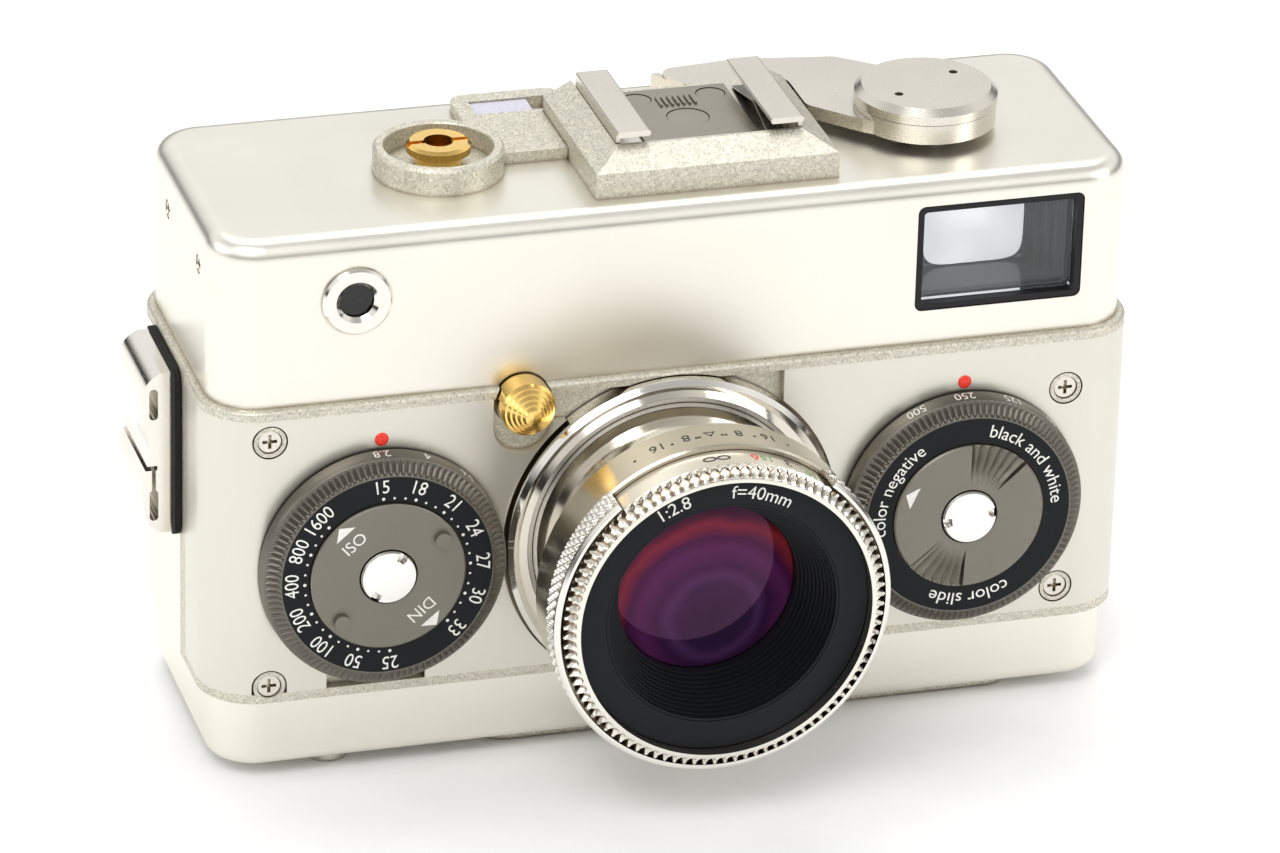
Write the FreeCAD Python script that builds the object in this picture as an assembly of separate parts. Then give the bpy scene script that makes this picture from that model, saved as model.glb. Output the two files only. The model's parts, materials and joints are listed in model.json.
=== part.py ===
import FreeCAD, Part
import math
import os
from FreeCAD import Vector

# A compact viewfinder camera for 35 mm film, with a lens barrel that slides into the body.
# Frame: +X to the right seen from the front, +Y towards the back of the camera, +Z up.
# Origin: the mouth of the tripod socket, in the plane of the raised base plate.
# Everything is in millimetres.

# --- body envelope ---
BODY_WIDTH = 97.0
BODY_DEPTH = 33.0
TOP = 59.36                 # upper face of the top cover
CORNER = 5.9                # plan radius of the body corners
INSET = 0.9                 # top and base covers stand in from the front panels
SHELL = 1.0                 # sheet thickness of the covers and panels
GAP = 0.1                   # air between covers that slide past each other
RUNNING = 0.05              # radial clearance of a shaft in its bearing

# --- levels ---
PLATE = 1.5                 # thickness of the raised base plate
BASE_TOP = 9.2              # upper edge of the base cover
PANEL_BOTTOM = 10.3
PANEL_TOP = 40.64
PANEL_SCREWS = ((-42.28, 38.34), (-42.28, 11.15), (40.76, 35.38), (40.76, 12.78))
SHOULDER_TOP = 41.67        # upper face of the chassis ledge under the top cover
DECK = 42.7                 # underside of the chassis deck over the film chambers
CHASSIS_BOTTOM = PLATE + SHELL + 0.5

# --- depths, measured back from the front panels ---
FRONT = -BODY_DEPTH / 2
PANEL_WRAP = 10.4           # how far the front panels wrap round the sides
SEAM = 12.5                 # rear edge of the textured side strip
WALL_FRONT = 1.0            # chassis front wall, behind the panels
WALL_BACK = 3.2
GATE_FRONT = 25.4
FILM_PLANE = 27.0

# --- lens ---
LENS_X = -0.8
LENS_Z = 23.95
FLANGE_RADIUS = 17.25
FLANGE_BACK = 0.8
SLEEVE_RADIUS = 15.1
TUBE_RADIUS = 14.6
BARREL_RADIUS = 16.95       # depth-of-field ring
GRIP_RADIUS = 17.45
FOCUS_RADIUS = 16.3
TUBE_FRONT = -10.75
BARREL_FRONT = -15.5
GRIP_FRONT = -19.0
LENS_FRONT = -20.2
GRIP_START = 130            # the grip runs round the underside from here
GRIP_SWEEP = 280

# --- dials ---
APERTURE_X = -30.95
APERTURE_Z = 23.9
SPEED_X = 29.86
SPEED_Z = 23.65
DIAL_RADIUS = 12.6
DIAL_FACE = -3.0            # front face of a dial's number ring

# --- top of the camera ---
BUTTON_X = -21.6
CONTROL_DEPTH = 14.8        # release button and wind lever stand on one line
LEVER_X = 29.4
METER_X = -33.4
METER_Z = 52.5
SHOE_X = 4.4
SHOE_WIDTH = 25.2
SHOE_FRONT = 4.15
SHOE_BACK = 24.2
SHOE_SLOT = 19.4            # over the uprights of the accessory shoe
SHOE_BED = 2.6              # height of the shoe's bed above the cover
SHOE_CONTACTS = ((SHOE_X, 15.2, 2.1), (SHOE_X - 3.9, 20.4, 1.45), (SHOE_X + 3.9, 20.4, 1.45))
FINDER_X = 33.25
FINDER_Z = 50.95

# --- film path ---
CASSETTE_X = -35.0
CASSETTE_DEPTH = 18.4
CASSETTE_RADIUS = 12.5
FILM_WIDTH = 35.0
SPROCKET_X = 24.2
SPROCKET_DEPTH = 20.7
SPOOL_X = 37.0
SPOOL_DEPTH = 18.6

LOCK_X = -16.4              # lens lock button
LOCK_Z = 40.0
LATCH_X = 12.0
COUNTER_X = 29.0
COUNTER_DEPTH = 13.0


def depth(distance):
    """Y of a point that lies this far behind the front panels."""
    return FRONT + distance


def block(x0, x1, y0, y1, z0, z1):
    return Part.makeBox(x1 - x0, y1 - y0, z1 - z0, Vector(x0, y0, z0))


def rounded_block(x0, x1, y0, y1, z0, z1, radius, axis="Z"):
    """Box whose edges along one axis are rounded."""
    body = block(x0, x1, y0, y1, z0, z1)
    along = Vector(axis == "X", axis == "Y", axis == "Z")
    edges = [e for e in body.Edges if abs(e.tangentAt(e.FirstParameter).dot(along)) > 0.9]
    return body.makeFillet(radius, edges)


def rod_x(y, z, radius, x0, x1):
    return Part.makeCylinder(radius, x1 - x0, Vector(x0, y, z), Vector(1, 0, 0))


def rod_y(x, z, radius, d0, d1):
    """Cylinder along Y between two depths."""
    return Part.makeCylinder(radius, d1 - d0, Vector(x, depth(d0), z), Vector(0, 1, 0))


def rod_z(x, d, radius, z0, z1):
    return Part.makeCylinder(radius, z1 - z0, Vector(x, depth(d), z0), Vector(0, 0, 1))


def tube_z(x, d, outer, inner, z0, z1):
    return rod_z(x, d, outer, z0, z1).cut(rod_z(x, d, inner, z0 - 1, z1 + 1))


def lathe_y(x, z, profile, start=0, sweep=360):
    """Turned ring about an axis along Y; profile points are (radius, depth)."""
    points = [Vector(radius, depth(d), 0) for radius, d in profile]
    face = Part.Face(Part.makePolygon(points + points[:1]))
    turned = face.revolve(Vector(0, 0, 0), Vector(0, -1, 0), sweep)
    turned.rotate(Vector(0, 0, 0), Vector(0, -1, 0), start)
    turned.translate(Vector(x, 0, z))
    return turned


def lathe_z(x, d, profile):
    """Turned piece about a vertical axis; profile points are (radius, z)."""
    points = [Vector(radius, 0, z) for radius, z in profile]
    face = Part.Face(Part.makePolygon(points + points[:1]))
    turned = face.revolve(Vector(0, 0, 0), Vector(0, 0, 1), 360)
    turned.translate(Vector(x, depth(d), 0))
    return turned


def spherical_cut(body, edge, radius, bulge, facing):
    """Shapes one face of a glass disc; facing is -1 for the front face, 1 for the back."""
    ball = (radius ** 2 + bulge ** 2) / (2 * abs(bulge))
    side = -facing if bulge > 0 else facing
    centre = Vector(LENS_X, depth(edge) + facing * bulge + side * ball, LENS_Z)
    sphere = Part.makeSphere(ball, centre)
    return body.common(sphere) if bulge > 0 else body.cut(sphere)


def lens_element(front, back, radius, front_bulge, back_bulge):
    """Glass disc between two depths of its rim; each face bulges out, or in if negative."""
    disc = rod_y(LENS_X, LENS_Z, radius, front - max(front_bulge, 0) - 0.1, back + max(back_bulge, 0) + 0.1)
    if front_bulge < 0:
        disc = disc.cut(rod_y(LENS_X, LENS_Z, radius + 1, front - 1, front))
    if back_bulge < 0:
        disc = disc.cut(rod_y(LENS_X, LENS_Z, radius + 1, back, back + 1))
    disc = spherical_cut(disc, front, radius, front_bulge, -1)
    return spherical_cut(disc, back, radius, back_bulge, 1)


def level_edges(shape, z):
    """Edges of a shape that lie in one horizontal plane."""
    box_ends = [(e, e.BoundBox.ZMin, e.BoundBox.ZMax) for e in shape.Edges]
    return [e for e, low, high in box_ends if abs(low - z) < 1e-3 and abs(high - z) < 1e-3]


def outline(inset, z0, z1):
    """Plan outline of the body, moved in all round by an inset."""
    half = BODY_WIDTH / 2 - inset
    return rounded_block(-half, half, depth(inset), depth(BODY_DEPTH - inset), z0, z1, CORNER - inset)


def walls(inset, thickness, z0, z1):
    """Upright wall that follows the plan outline."""
    return outline(inset, z0, z1).cut(outline(inset + thickness, z0 - 1, z1 + 1))


def polar(x, z, radius, degrees):
    angle = math.radians(degrees)
    return x + radius * math.cos(angle), z + radius * math.sin(angle)


# ---------------------------------------------------------------- covers

def finder_window(d0, d1, width=17.6, height=11.5, radius=0.8):
    return rounded_block(
        FINDER_X - width / 2, FINDER_X + width / 2, depth(d0), depth(d1),
        FINDER_Z - height / 2, FINDER_Z + height / 2, radius, "Y")


def top_cover():
    outer = outline(INSET, SHOULDER_TOP, TOP)
    outer = outer.makeFillet(1.9, level_edges(outer, TOP))
    inner = outline(INSET + SHELL, SHOULDER_TOP - 1, TOP - SHELL)
    inner = inner.makeFillet(0.9, level_edges(inner, TOP - SHELL))
    cover = outer.cut(inner)
    cover = cover.cut(finder_window(0, 5))
    cover = cover.cut(finder_window(30, 34, 11, 8))
    cover = cover.cut(rod_y(METER_X, METER_Z, 3.0, 0, 5))
    cover = cover.cut(rod_y(LOCK_X, LOCK_Z, 2.95, 0, 5))
    cover = cover.cut(rod_z(BUTTON_X, CONTROL_DEPTH, 2.45, TOP - 3, TOP + 1))
    cover = cover.cut(rod_z(LEVER_X, CONTROL_DEPTH, 2.6, TOP - 3, TOP + 1))
    cover = cover.cut(block(-15.1, -9.0, depth(24.1), depth(28.4), TOP - 3, TOP + 1))
    for side in (-1, 1):
        for d in (8.5, 22.0):
            x_face = side * (BODY_WIDTH / 2 - INSET)
            hole = rod_x(depth(d), 54.5, 1.0, min(x_face, x_face - 3 * side), max(x_face, x_face - 3 * side))
            cover = cover.cut(hole)
    return cover


def cover_screws():
    """Cross-head screws in the ends of the top cover."""
    screws = []
    for side in (-1, 1):
        for d in (8.5, 22.0):
            y, z = depth(d), 54.5
            x_face = side * (BODY_WIDTH / 2 - INSET - 0.1)
            shank_end = x_face - 2.6 * side
            screw = rod_x(y, z, 0.95, min(x_face, shank_end), max(x_face, shank_end))
            tip = x_face - 0.5 * side
            for width, height in ((1.1, 0.28), (0.28, 1.1)):
                slot = block(min(tip, tip + side), max(tip, tip + side),
                             y - width / 2, y + width / 2, z - height / 2, z + height / 2)
                screw = screw.cut(slot)
            screws.append(screw)
    return screws


def panel_cutters():
    """Everything that both front panels leave free: lens flange, dials, screws, lock recess."""
    cutter = rod_y(LENS_X, LENS_Z, FLANGE_RADIUS + 0.3, -1, 5)
    for x, z in ((APERTURE_X, APERTURE_Z), (SPEED_X, SPEED_Z)):
        cutter = cutter.fuse(rod_y(x, z, 3.5, -1, 5))
    for x, z in PANEL_SCREWS:
        cutter = cutter.fuse(rod_y(x, z, 1.8, -1, 5))
    recess_z = LOCK_Z - 2.5
    cutter = cutter.fuse(rod_y(LOCK_X, recess_z, 3.1, -1, 5))
    cutter = cutter.fuse(block(LOCK_X - 3.1, 0, depth(-1), depth(5), recess_z, PANEL_TOP + 1))
    low_x, low_z = PANEL_SCREWS[1]
    cutter = cutter.fuse(block(low_x - 1.8, low_x + 1.8, depth(-1), depth(5), PANEL_BOTTOM - 1, low_z))
    cutter = cutter.fuse(block(-36.4, -26.2, depth(-1), depth(5), PANEL_BOTTOM - 1, 12.1))
    return cutter


def front_panel(side):
    """One of the two front panels, wrapped round a body corner."""
    sheet = walls(0, SHELL, PANEL_BOTTOM, PANEL_TOP)
    seam = LENS_X - 0.05 if side < 0 else LENS_X + 0.05
    outer_end = side * BODY_WIDTH
    region = block(min(seam, outer_end), max(seam, outer_end),
                   depth(-1), depth(PANEL_WRAP), 0, TOP)
    sheet = sheet.common(region).cut(panel_cutters())
    if side > 0:
        sheet = sheet.cut(block(LENS_X - 1, 10.7, depth(-1), depth(5), LENS_Z, TOP))
    return max(sheet.Solids, key=lambda solid: solid.Volume)


def panel_screws():
    """Cross-head screws sunk in the bosses of the front panels."""
    screws = []
    for x, z in PANEL_SCREWS:
        head = rod_y(x, z, 1.15, 0.25, 1.2)
        shank = rod_y(x, z, 0.6, 1.2, 3.0)
        screw = head.fuse(shank)
        y0, y1 = depth(0), depth(0.8)
        for width, height in ((1.5, 0.34), (0.34, 1.5)):
            screw = screw.cut(block(x - width / 2, x + width / 2, y0, y1, z - height / 2, z + height / 2))
        screws.append(screw)
    return screws


# ---------------------------------------------------------------- chassis

def chassis():
    """Cast frame: front wall, shoulder ledge, side strips and the film chambers."""
    half = BODY_WIDTH / 2
    ledge = outline(0, PANEL_TOP, SHOULDER_TOP)
    ledge = ledge.makeFillet(0.45, level_edges(ledge, SHOULDER_TOP))
    ledge = ledge.cut(outline(3.4, PANEL_TOP - 1, SHOULDER_TOP + 1))
    collar = outline(INSET + SHELL + GAP, SHOULDER_TOP - 0.2, SHOULDER_TOP + 2)
    collar = collar.cut(outline(3.4, SHOULDER_TOP - 1, SHOULDER_TOP + 3))
    front_half = block(-half - 1, half + 1, depth(-1), depth(SEAM), 0, TOP)
    sill = walls(0, 3.0, BASE_TOP + GAP, PANEL_BOTTOM).common(front_half)
    wall = walls(WALL_FRONT, WALL_BACK - WALL_FRONT, BASE_TOP + GAP, PANEL_TOP).common(front_half)
    strip_region = block(-half - 1, half + 1, depth(PANEL_WRAP), depth(SEAM), BASE_TOP + GAP, PANEL_TOP)
    strips = walls(0, 3.0, BASE_TOP + GAP, PANEL_TOP).common(strip_region)
    inner_inset = INSET + SHELL + 2 * GAP
    skirt = walls(inner_inset, 1.2, CHASSIS_BOTTOM, BASE_TOP + GAP).common(front_half)
    body = ledge.fuse([collar, sill, wall, strips, skirt, film_frame()])
    for x, z in PANEL_SCREWS:
        body = body.fuse(rod_y(x, z, 1.65, 0.05, 3.4))
    body = body.cut(chassis_bores())
    return max(body.removeSplitter().Solids, key=lambda solid: solid.Volume)


def film_frame():
    """Gate wall with its film rails, chamber walls and deck behind the front wall."""
    low, high = CHASSIS_BOTTOM, DECK + 0.2
    gate = block(-21.8, 20.2, depth(GATE_FRONT), depth(FILM_PLANE), low, high)
    gate = gate.cut(block(LENS_X - 18, LENS_X + 18, depth(20), depth(30), LENS_Z - 12, LENS_Z + 12))
    left = block(-21.8, -20.3, depth(WALL_BACK - 0.5), depth(GATE_FRONT + 0.5), low, high)
    right = block(18.7, 20.2, depth(WALL_BACK - 0.5), depth(GATE_FRONT + 0.5), low, high)
    floor_left = block(-45.5, -21.0, depth(4), depth(27), low, low + 1.2)
    floor_left = floor_left.cut(rod_z(CASSETTE_X, CASSETTE_DEPTH, 6.0, low - 1, low + 2))
    floor_right = block(19.5, 45.5, depth(4), depth(27), low, low + 1.2)
    back_left = rounded_block(-46.4, -44.9, depth(SEAM - 3), depth(27.5), low, high, 0.5)
    back_right = rounded_block(44.9, 46.4, depth(SEAM - 3), depth(27.5), low, high, 0.5)
    chamber = tube_z(CASSETTE_X, CASSETTE_DEPTH, 13.4, 12.7, DECK, 50.2)
    cap = rod_z(CASSETTE_X, CASSETTE_DEPTH, 13.4, 50.0, 51.0)
    chamber = chamber.fuse(cap).cut(block(-60, 60, depth(BODY_DEPTH - 2.4), depth(40), 0, TOP))
    chamber = chamber.cut(block(-60, -BODY_WIDTH / 2 + 2.2, depth(0), depth(40), 0, TOP))
    deck = block(-22.0, 44.0, depth(2.5), depth(29.5), DECK, DECK + 1.0)
    spring_seat = block(-28.0, -18.5, depth(12), depth(17.6), 50.0, 51.0)
    rails = [block(-21.0, 19.6, depth(FILM_PLANE - 0.1), depth(FILM_PLANE + 0.4), z - 1.0, z + 1.0)
             for z in (LENS_Z - 14.4, LENS_Z + 14.4)]
    parts = [left, right, floor_left, floor_right, back_left, back_right, chamber, deck, spring_seat]
    frame = gate.fuse(parts + rails)
    return frame.cut(rod_z(SPROCKET_X, SPROCKET_DEPTH, 6.5, low + 1.2, DECK))


def chassis_bores():
    """Openings of the chassis for the lens, the dials, the lock, shafts and screws."""
    cutter = rod_y(LENS_X, LENS_Z, FLANGE_RADIUS + 0.1, -1, WALL_FRONT)
    cutter = cutter.fuse(rod_y(LENS_X, LENS_Z, SLEEVE_RADIUS + 0.6, -1, 8.0))
    for x, z in ((APERTURE_X, APERTURE_Z), (SPEED_X, SPEED_Z)):
        cutter = cutter.fuse(rod_y(x, z, 1.5 + RUNNING, -1, 5))
    cutter = cutter.fuse(rod_y(LOCK_X, LOCK_Z, 2.0 + RUNNING, -1, 8))
    cutter = cutter.fuse(rod_y(LOCK_X, LOCK_Z, 2.95, -1, 2.4))
    for x, z in PANEL_SCREWS:
        cutter = cutter.fuse(rod_y(x, z, 1.25, -1, 1.2))
        cutter = cutter.fuse(rod_y(x, z, 0.65, 1.0, 5))
    cutter = cutter.fuse(rod_z(COUNTER_X, COUNTER_DEPTH, 0.8 + RUNNING, 0, 5))
    cutter = cutter.fuse(rod_z(SPROCKET_X, SPROCKET_DEPTH, 1.0 + RUNNING, 0, TOP))
    cutter = cutter.fuse(rod_z(SPOOL_X, SPOOL_DEPTH, 1.0 + RUNNING, 0, TOP))
    lug_bolt = rod_x(depth(18.2), 32.0, 1.2, -50, -40)
    return cutter.fuse(lug_bolt)


def light_box():
    """Black tapered tunnel between the lens barrel and the film gate."""
    def frame(d, half_width, half_height):
        corners = [Vector(LENS_X + sx * half_width, depth(d), LENS_Z + sz * half_height)
                   for sx, sz in ((-1, -1), (1, -1), (1, 1), (-1, 1))]
        return Part.makePolygon(corners + corners[:1])
    outer = Part.makeLoft([frame(13.6, 15.6, 14.6), frame(GATE_FRONT - 0.05, 19.2, 13.4)], True, True)
    inner = Part.makeLoft([frame(13.5, 14.8, 13.8), frame(GATE_FRONT, 18.2, 12.2)], True, True)
    return outer.cut(inner)


# ---------------------------------------------------------------- back and base

def back_cover():
    """Rear door: back wall and the rear halves of the sides, with a slot for the strap lug."""
    half = BODY_WIDTH / 2
    rear = block(-half - 1, half + 1, depth(SEAM + GAP), depth(BODY_DEPTH + 1), 0, TOP)
    door = walls(0, SHELL, BASE_TOP, PANEL_TOP - GAP).common(rear)
    slot = block(-half - 1, -half + 2, depth(14.6), depth(21.8), 26.6, TOP)
    return door.cut(slot)


def base_cover():
    """Shallow tray that closes the camera from below."""
    outer = outline(INSET, PLATE, BASE_TOP)
    outer = outer.makeFillet(1.5, level_edges(outer, PLATE))
    inner = outline(INSET + SHELL, PLATE + SHELL, BASE_TOP + 1)
    inner = inner.makeFillet(0.6, level_edges(inner, PLATE + SHELL))
    tray = outer.cut(inner)
    tray = tray.cut(rod_z(CASSETTE_X, CASSETTE_DEPTH, 3.0 + RUNNING, 0, 5))
    tray = tray.cut(rod_z(0, BODY_DEPTH / 2, 4.6, 0, 5))
    tray = tray.cut(rod_z(LATCH_X, BODY_DEPTH / 2, 1.5 + RUNNING, 0, 5))
    tray = tray.cut(rod_z(COUNTER_X, COUNTER_DEPTH + 3.4, 1.4, 0, 5))
    return tray.cut(rod_y(LENS_X, LENS_Z, SLEEVE_RADIUS + 1.1, 0, 5))


def base_plate():
    """Raised plate that the camera stands on, round the tripod socket."""
    plate = rounded_block(-19.4, 38.0, depth(3.5), depth(29.5), 0, PLATE, 3.0)
    plate = plate.makeFillet(0.5, level_edges(plate, 0))
    plate = plate.cut(rod_z(0, BODY_DEPTH / 2, 4.6, -1, 5))
    plate = plate.cut(rod_z(LATCH_X, BODY_DEPTH / 2, 5.2, -1, 5))
    return plate.cut(rod_z(COUNTER_X, COUNTER_DEPTH + 3.4, 1.8, -1, 5))


def tripod_socket():
    """Threaded bush for a quarter-inch tripod screw."""
    bush = rod_z(0, BODY_DEPTH / 2, 4.55, 0, PLATE + SHELL)
    bush = bush.fuse(rod_z(0, BODY_DEPTH / 2, 5.6, PLATE + SHELL, 6.2))
    return bush.cut(rod_z(0, BODY_DEPTH / 2, 3.2, -1, 5.2))


def latch_key():
    """Turning key that locks the back, with a straight finger grip."""
    disc = rod_z(LATCH_X, BODY_DEPTH / 2, 5.0, 0.5, PLATE - 0.1)
    grip = rounded_block(LATCH_X - 4.2, LATCH_X + 4.2, depth(15.9), depth(17.1), 0.1, 0.8, 0.5)
    shaft = rod_z(LATCH_X, BODY_DEPTH / 2, 1.5, 0.8, 4.0)
    bolt = block(LATCH_X - 1.2, LATCH_X + 5.4, depth(15.5), depth(17.5), 4.0, 4.8)
    return disc.fuse([grip, shaft, bolt])


def rewind_fork():
    """Rewind disc outside the base, with a forked shaft into the film chamber."""
    disc = rod_z(CASSETTE_X, CASSETTE_DEPTH, 5.5, 0.6, PLATE - 0.1)
    shaft = rod_z(CASSETTE_X, CASSETTE_DEPTH, 3.0, 1.0, 6.5)
    tip = rod_z(CASSETTE_X, CASSETTE_DEPTH, 2.0, 6.5, 10.5)
    tip = tip.cut(block(CASSETTE_X - 0.7, CASSETTE_X + 0.7, depth(10), depth(25), 7.5, 11))
    fork = disc.fuse([shaft, tip])
    notch = block(CASSETTE_X - 1.9, CASSETTE_X + 1.9, depth(5), depth(CASSETTE_DEPTH + 2.4), 0, 1.45)
    pin = rod_x(depth(CASSETTE_DEPTH + 1.2), 0.7, 0.3, CASSETTE_X - 4, CASSETTE_X + 4)
    return fork.cut(notch).fuse(pin)


def rewind_handle():
    """Folding crank: a flat arm on a hinge pin with a small round grip."""
    arm = rounded_block(CASSETTE_X - 1.7, CASSETTE_X + 1.7, depth(5.2), depth(CASSETTE_DEPTH + 1.65),
                        0.2, 1.2, 0.3, "Y")
    arm = arm.cut(rod_x(depth(CASSETTE_DEPTH + 1.2), 0.7, 0.3 + RUNNING, CASSETTE_X - 4, CASSETTE_X + 4))
    grip = rod_z(CASSETTE_X, 5.6, 2.2, 0.1, 1.35)
    return arm.fuse(grip)


def pressure_plate():
    """Flat plate on the back that keeps the film flat in the gate."""
    plate = rounded_block(LENS_X - 20, LENS_X + 20, depth(FILM_PLANE + 0.7), depth(FILM_PLANE + 1.7),
                          LENS_Z - 15.5, LENS_Z + 15.5, 1.0, "Y")
    return plate


def plate_springs():
    """Leaf springs between the back wall and the pressure plate."""
    springs = []
    for x in (LENS_X - 9, LENS_X + 9):
        foot = block(x - 1.5, x + 1.5, depth(BODY_DEPTH - 1.3), depth(BODY_DEPTH - 1.0), 14, 18)
        points = [(31.7, 16.5), (29.02, 24.0), (31.7, 31.5), (32.0, 31.5), (29.32, 24.0), (32.0, 16.5)]
        wire = Part.makePolygon([Vector(x - 1.5, depth(d), z) for d, z in points + points[:1]])
        springs.append(Part.Face(wire).extrude(Vector(3, 0, 0)).fuse(foot))
    return Part.makeCompound(springs)


# ---------------------------------------------------------------- lens

def lens_flange():
    """Polished mount ring with a bright chamfer and a funnel towards the barrel."""
    bore = SLEEVE_RADIUS + RUNNING
    return lathe_y(LENS_X, LENS_Z, [
        (bore, 7.0), (bore + 0.5, 7.0), (bore + 0.5, FLANGE_BACK), (FLANGE_RADIUS, FLANGE_BACK),
        (FLANGE_RADIUS, -1.0), (FLANGE_RADIUS - 0.5, -1.5), (bore + 0.9, -0.95), (bore, -0.75)])


def guide_sleeve():
    """Sleeve that turns in the flange and guides the sliding tube."""
    inner = TUBE_RADIUS + RUNNING
    return lathe_y(LENS_X, LENS_Z, [
        (inner, -0.7), (SLEEVE_RADIUS, -0.7), (SLEEVE_RADIUS, 7.2), (SLEEVE_RADIUS + 0.5, 7.2),
        (SLEEVE_RADIUS + 0.5, 7.9), (inner, 7.9)])


def lens_tube():
    return lathe_y(LENS_X, LENS_Z, [
        (TUBE_RADIUS - 0.8, TUBE_FRONT), (TUBE_RADIUS, TUBE_FRONT), (TUBE_RADIUS, 2.8), (TUBE_RADIUS - 0.8, 2.8)])


def depth_ring():
    """Ring with the depth-of-field scale; its front carries the helicoid bearing."""
    return lathe_y(LENS_X, LENS_Z, [
        (13.2, TUBE_FRONT), (13.2, -16.4), (14.0, -16.4), (14.0, -11.9), (FOCUS_RADIUS + 0.1, -11.9),
        (FOCUS_RADIUS + 0.1, BARREL_FRONT), (BARREL_RADIUS - 0.2, BARREL_FRONT),
        (BARREL_RADIUS, BARREL_FRONT + 0.2), (BARREL_RADIUS, TUBE_FRONT + 0.15),
        (BARREL_RADIUS - 0.15, TUBE_FRONT)])


def barrel_grip():
    """Knurled grip that surrounds the focusing ring, open over the distance scale."""
    inner = FOCUS_RADIUS + 0.45
    return lathe_y(LENS_X, LENS_Z, [
        (inner, GRIP_FRONT), (GRIP_RADIUS - 0.35, GRIP_FRONT), (GRIP_RADIUS, GRIP_FRONT + 0.8),
        (GRIP_RADIUS, BARREL_FRONT + 0.25), (GRIP_RADIUS - 0.3, BARREL_FRONT), (inner, BARREL_FRONT)],
        GRIP_START, GRIP_SWEEP)


def helicoid_sleeve():
    """Brass sleeve that carries the front cell forward as the ring turns."""
    return lathe_y(LENS_X, LENS_Z, [
        (14.1, -12.0 - 2.2), (15.0, -12.0 - 2.2), (15.0, -17.9), (14.1, -17.9)])


def focus_ring():
    """Focusing ring with the distance scale and the filter thread in its rim."""
    return lathe_y(LENS_X, LENS_Z, [
        (15.1, -12.1), (FOCUS_RADIUS, -12.1), (FOCUS_RADIUS, -18.2), (16.6, -18.5), (16.6, GRIP_FRONT),
        (15.35, LENS_FRONT), (15.0, LENS_FRONT), (15.0, LENS_FRONT + 1.4), (15.7, LENS_FRONT + 1.4),
        (15.7, LENS_FRONT + 1.9), (15.1, LENS_FRONT + 1.9)])


def name_ring():
    """Black retaining ring round the front glass."""
    return lathe_y(LENS_X, LENS_Z, [(12.0, -18.75), (14.95, -18.75), (14.95, -18.1), (12.0, -18.1)])


def front_cell():
    """Black cell that holds the front glass, with a stepped cone in front of it."""
    steps = 11
    rise = (18.7 - 12.9) / steps
    run = (11.95 - 9.3) / steps
    profile = [(9.7, -8.4), (12.6, -8.4), (12.6, -18.05), (11.95, -18.05), (11.95, -18.7)]
    for index in range(steps):
        radius = 11.95 - run * (index + 1)
        d = -18.7 + rise * index
        profile += [(radius, d), (radius, d + rise)]
    profile += [(9.3, -12.15), (9.7, -12.15)]
    return lathe_y(LENS_X, LENS_Z, profile)


def shutter_housing():
    """Leaf shutter and diaphragm housing inside the tube, with the rear glass cell."""
    return lathe_y(LENS_X, LENS_Z, [
        (6.2, -4.4), (6.2, -5.4), (10.5, -5.4), (10.5, -6.2), (13.7, -6.2), (13.7, -2.0), (10.4, -2.0),
        (10.4, 2.4), (7.8, 2.4), (7.8, 1.6), (7.1, 1.6), (7.1, -1.9), (9.0, -1.9), (9.0, -4.4)])


def iris_blades():
    """Five thin blades that leave a round opening."""
    blades = []
    for index in range(5):
        d = -5.62 - 0.1 * index
        blade = lathe_y(LENS_X, LENS_Z, [(5.4, d), (9.6, d), (9.6, d + 0.06), (5.4, d + 0.06)], 72 * index, 150)
        blades.append(blade)
    return Part.makeCompound(blades)


# ---------------------------------------------------------------- dials

def dial_ring(x, z):
    """Outer dial: numbered skirt, knurled bevel, flat number ring and shaft."""
    dial = lathe_y(x, z, [
        (0, -0.3), (DIAL_RADIUS, -0.3), (DIAL_RADIUS - 0.25, -2.1), (DIAL_RADIUS - 0.6, -2.3),
        (10.9, DIAL_FACE), (8.1, DIAL_FACE), (8.1, -1.6), (0, -1.6)])
    shaft = rod_y(x, z, 1.5, -0.4, 5.6)
    return dial.fuse(shaft)


def dial_disc(x, z, pins):
    """Inner disc that turns by itself in the dial; pins are the angles of its finger bosses."""
    disc = lathe_y(x, z, [
        (3.0, -1.7), (7.9, -1.7), (7.95, DIAL_FACE - 0.25), (7.8, DIAL_FACE - 0.35), (3.0, DIAL_FACE - 0.35)])
    for angle in pins:
        px, pz = polar(x, z, 6.55, angle)
        disc = disc.fuse(rod_y(px, pz, 0.8, DIAL_FACE - 0.9, DIAL_FACE - 0.2))
    return disc


def dial_cap(x, z, angle):
    """Bright cap with two spanner notches that keeps the disc on the dial."""
    cap = lathe_y(x, z, [
        (0, -1.65), (2.85, -1.65), (2.85, DIAL_FACE - 0.5), (2.7, DIAL_FACE - 0.65), (0, DIAL_FACE - 0.85)])
    for turn in (0, 180):
        nx, nz = polar(x, z, 2.7, angle + turn)
        cap = cap.cut(rod_y(nx, nz, 0.45, DIAL_FACE - 1, DIAL_FACE + 0.2))
    return cap


# ---------------------------------------------------------------- lens lock

def lock_button():
    """Stepped round push button beside the lens."""
    profile = [(0, 5.0), (2.0, 5.0), (2.0, 0.6), (2.82, 0.6), (2.82, -1.9)]
    for index in range(4):
        radius = 2.82 - 0.5 * (index + 1)
        d = -1.9 - 0.5 * (index + 1)
        profile += [(radius + 0.1, d + 0.1), (radius, d)]
    profile += [(0, -4.0)]
    return lathe_y(LOCK_X, LOCK_Z, profile)


def coil(radius, wire, length, turns):
    """Compression spring from the origin along Z, made from flat turns joined by a helix."""
    path = Part.makeHelix(length / turns, length, radius)
    section = Part.Wire(Part.makeCircle(wire, Vector(radius, 0, 0), Vector(0, 1, 0)))
    return Part.Wire(path).makePipeShell([section], True, True)


# ---------------------------------------------------------------- top fittings

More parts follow.
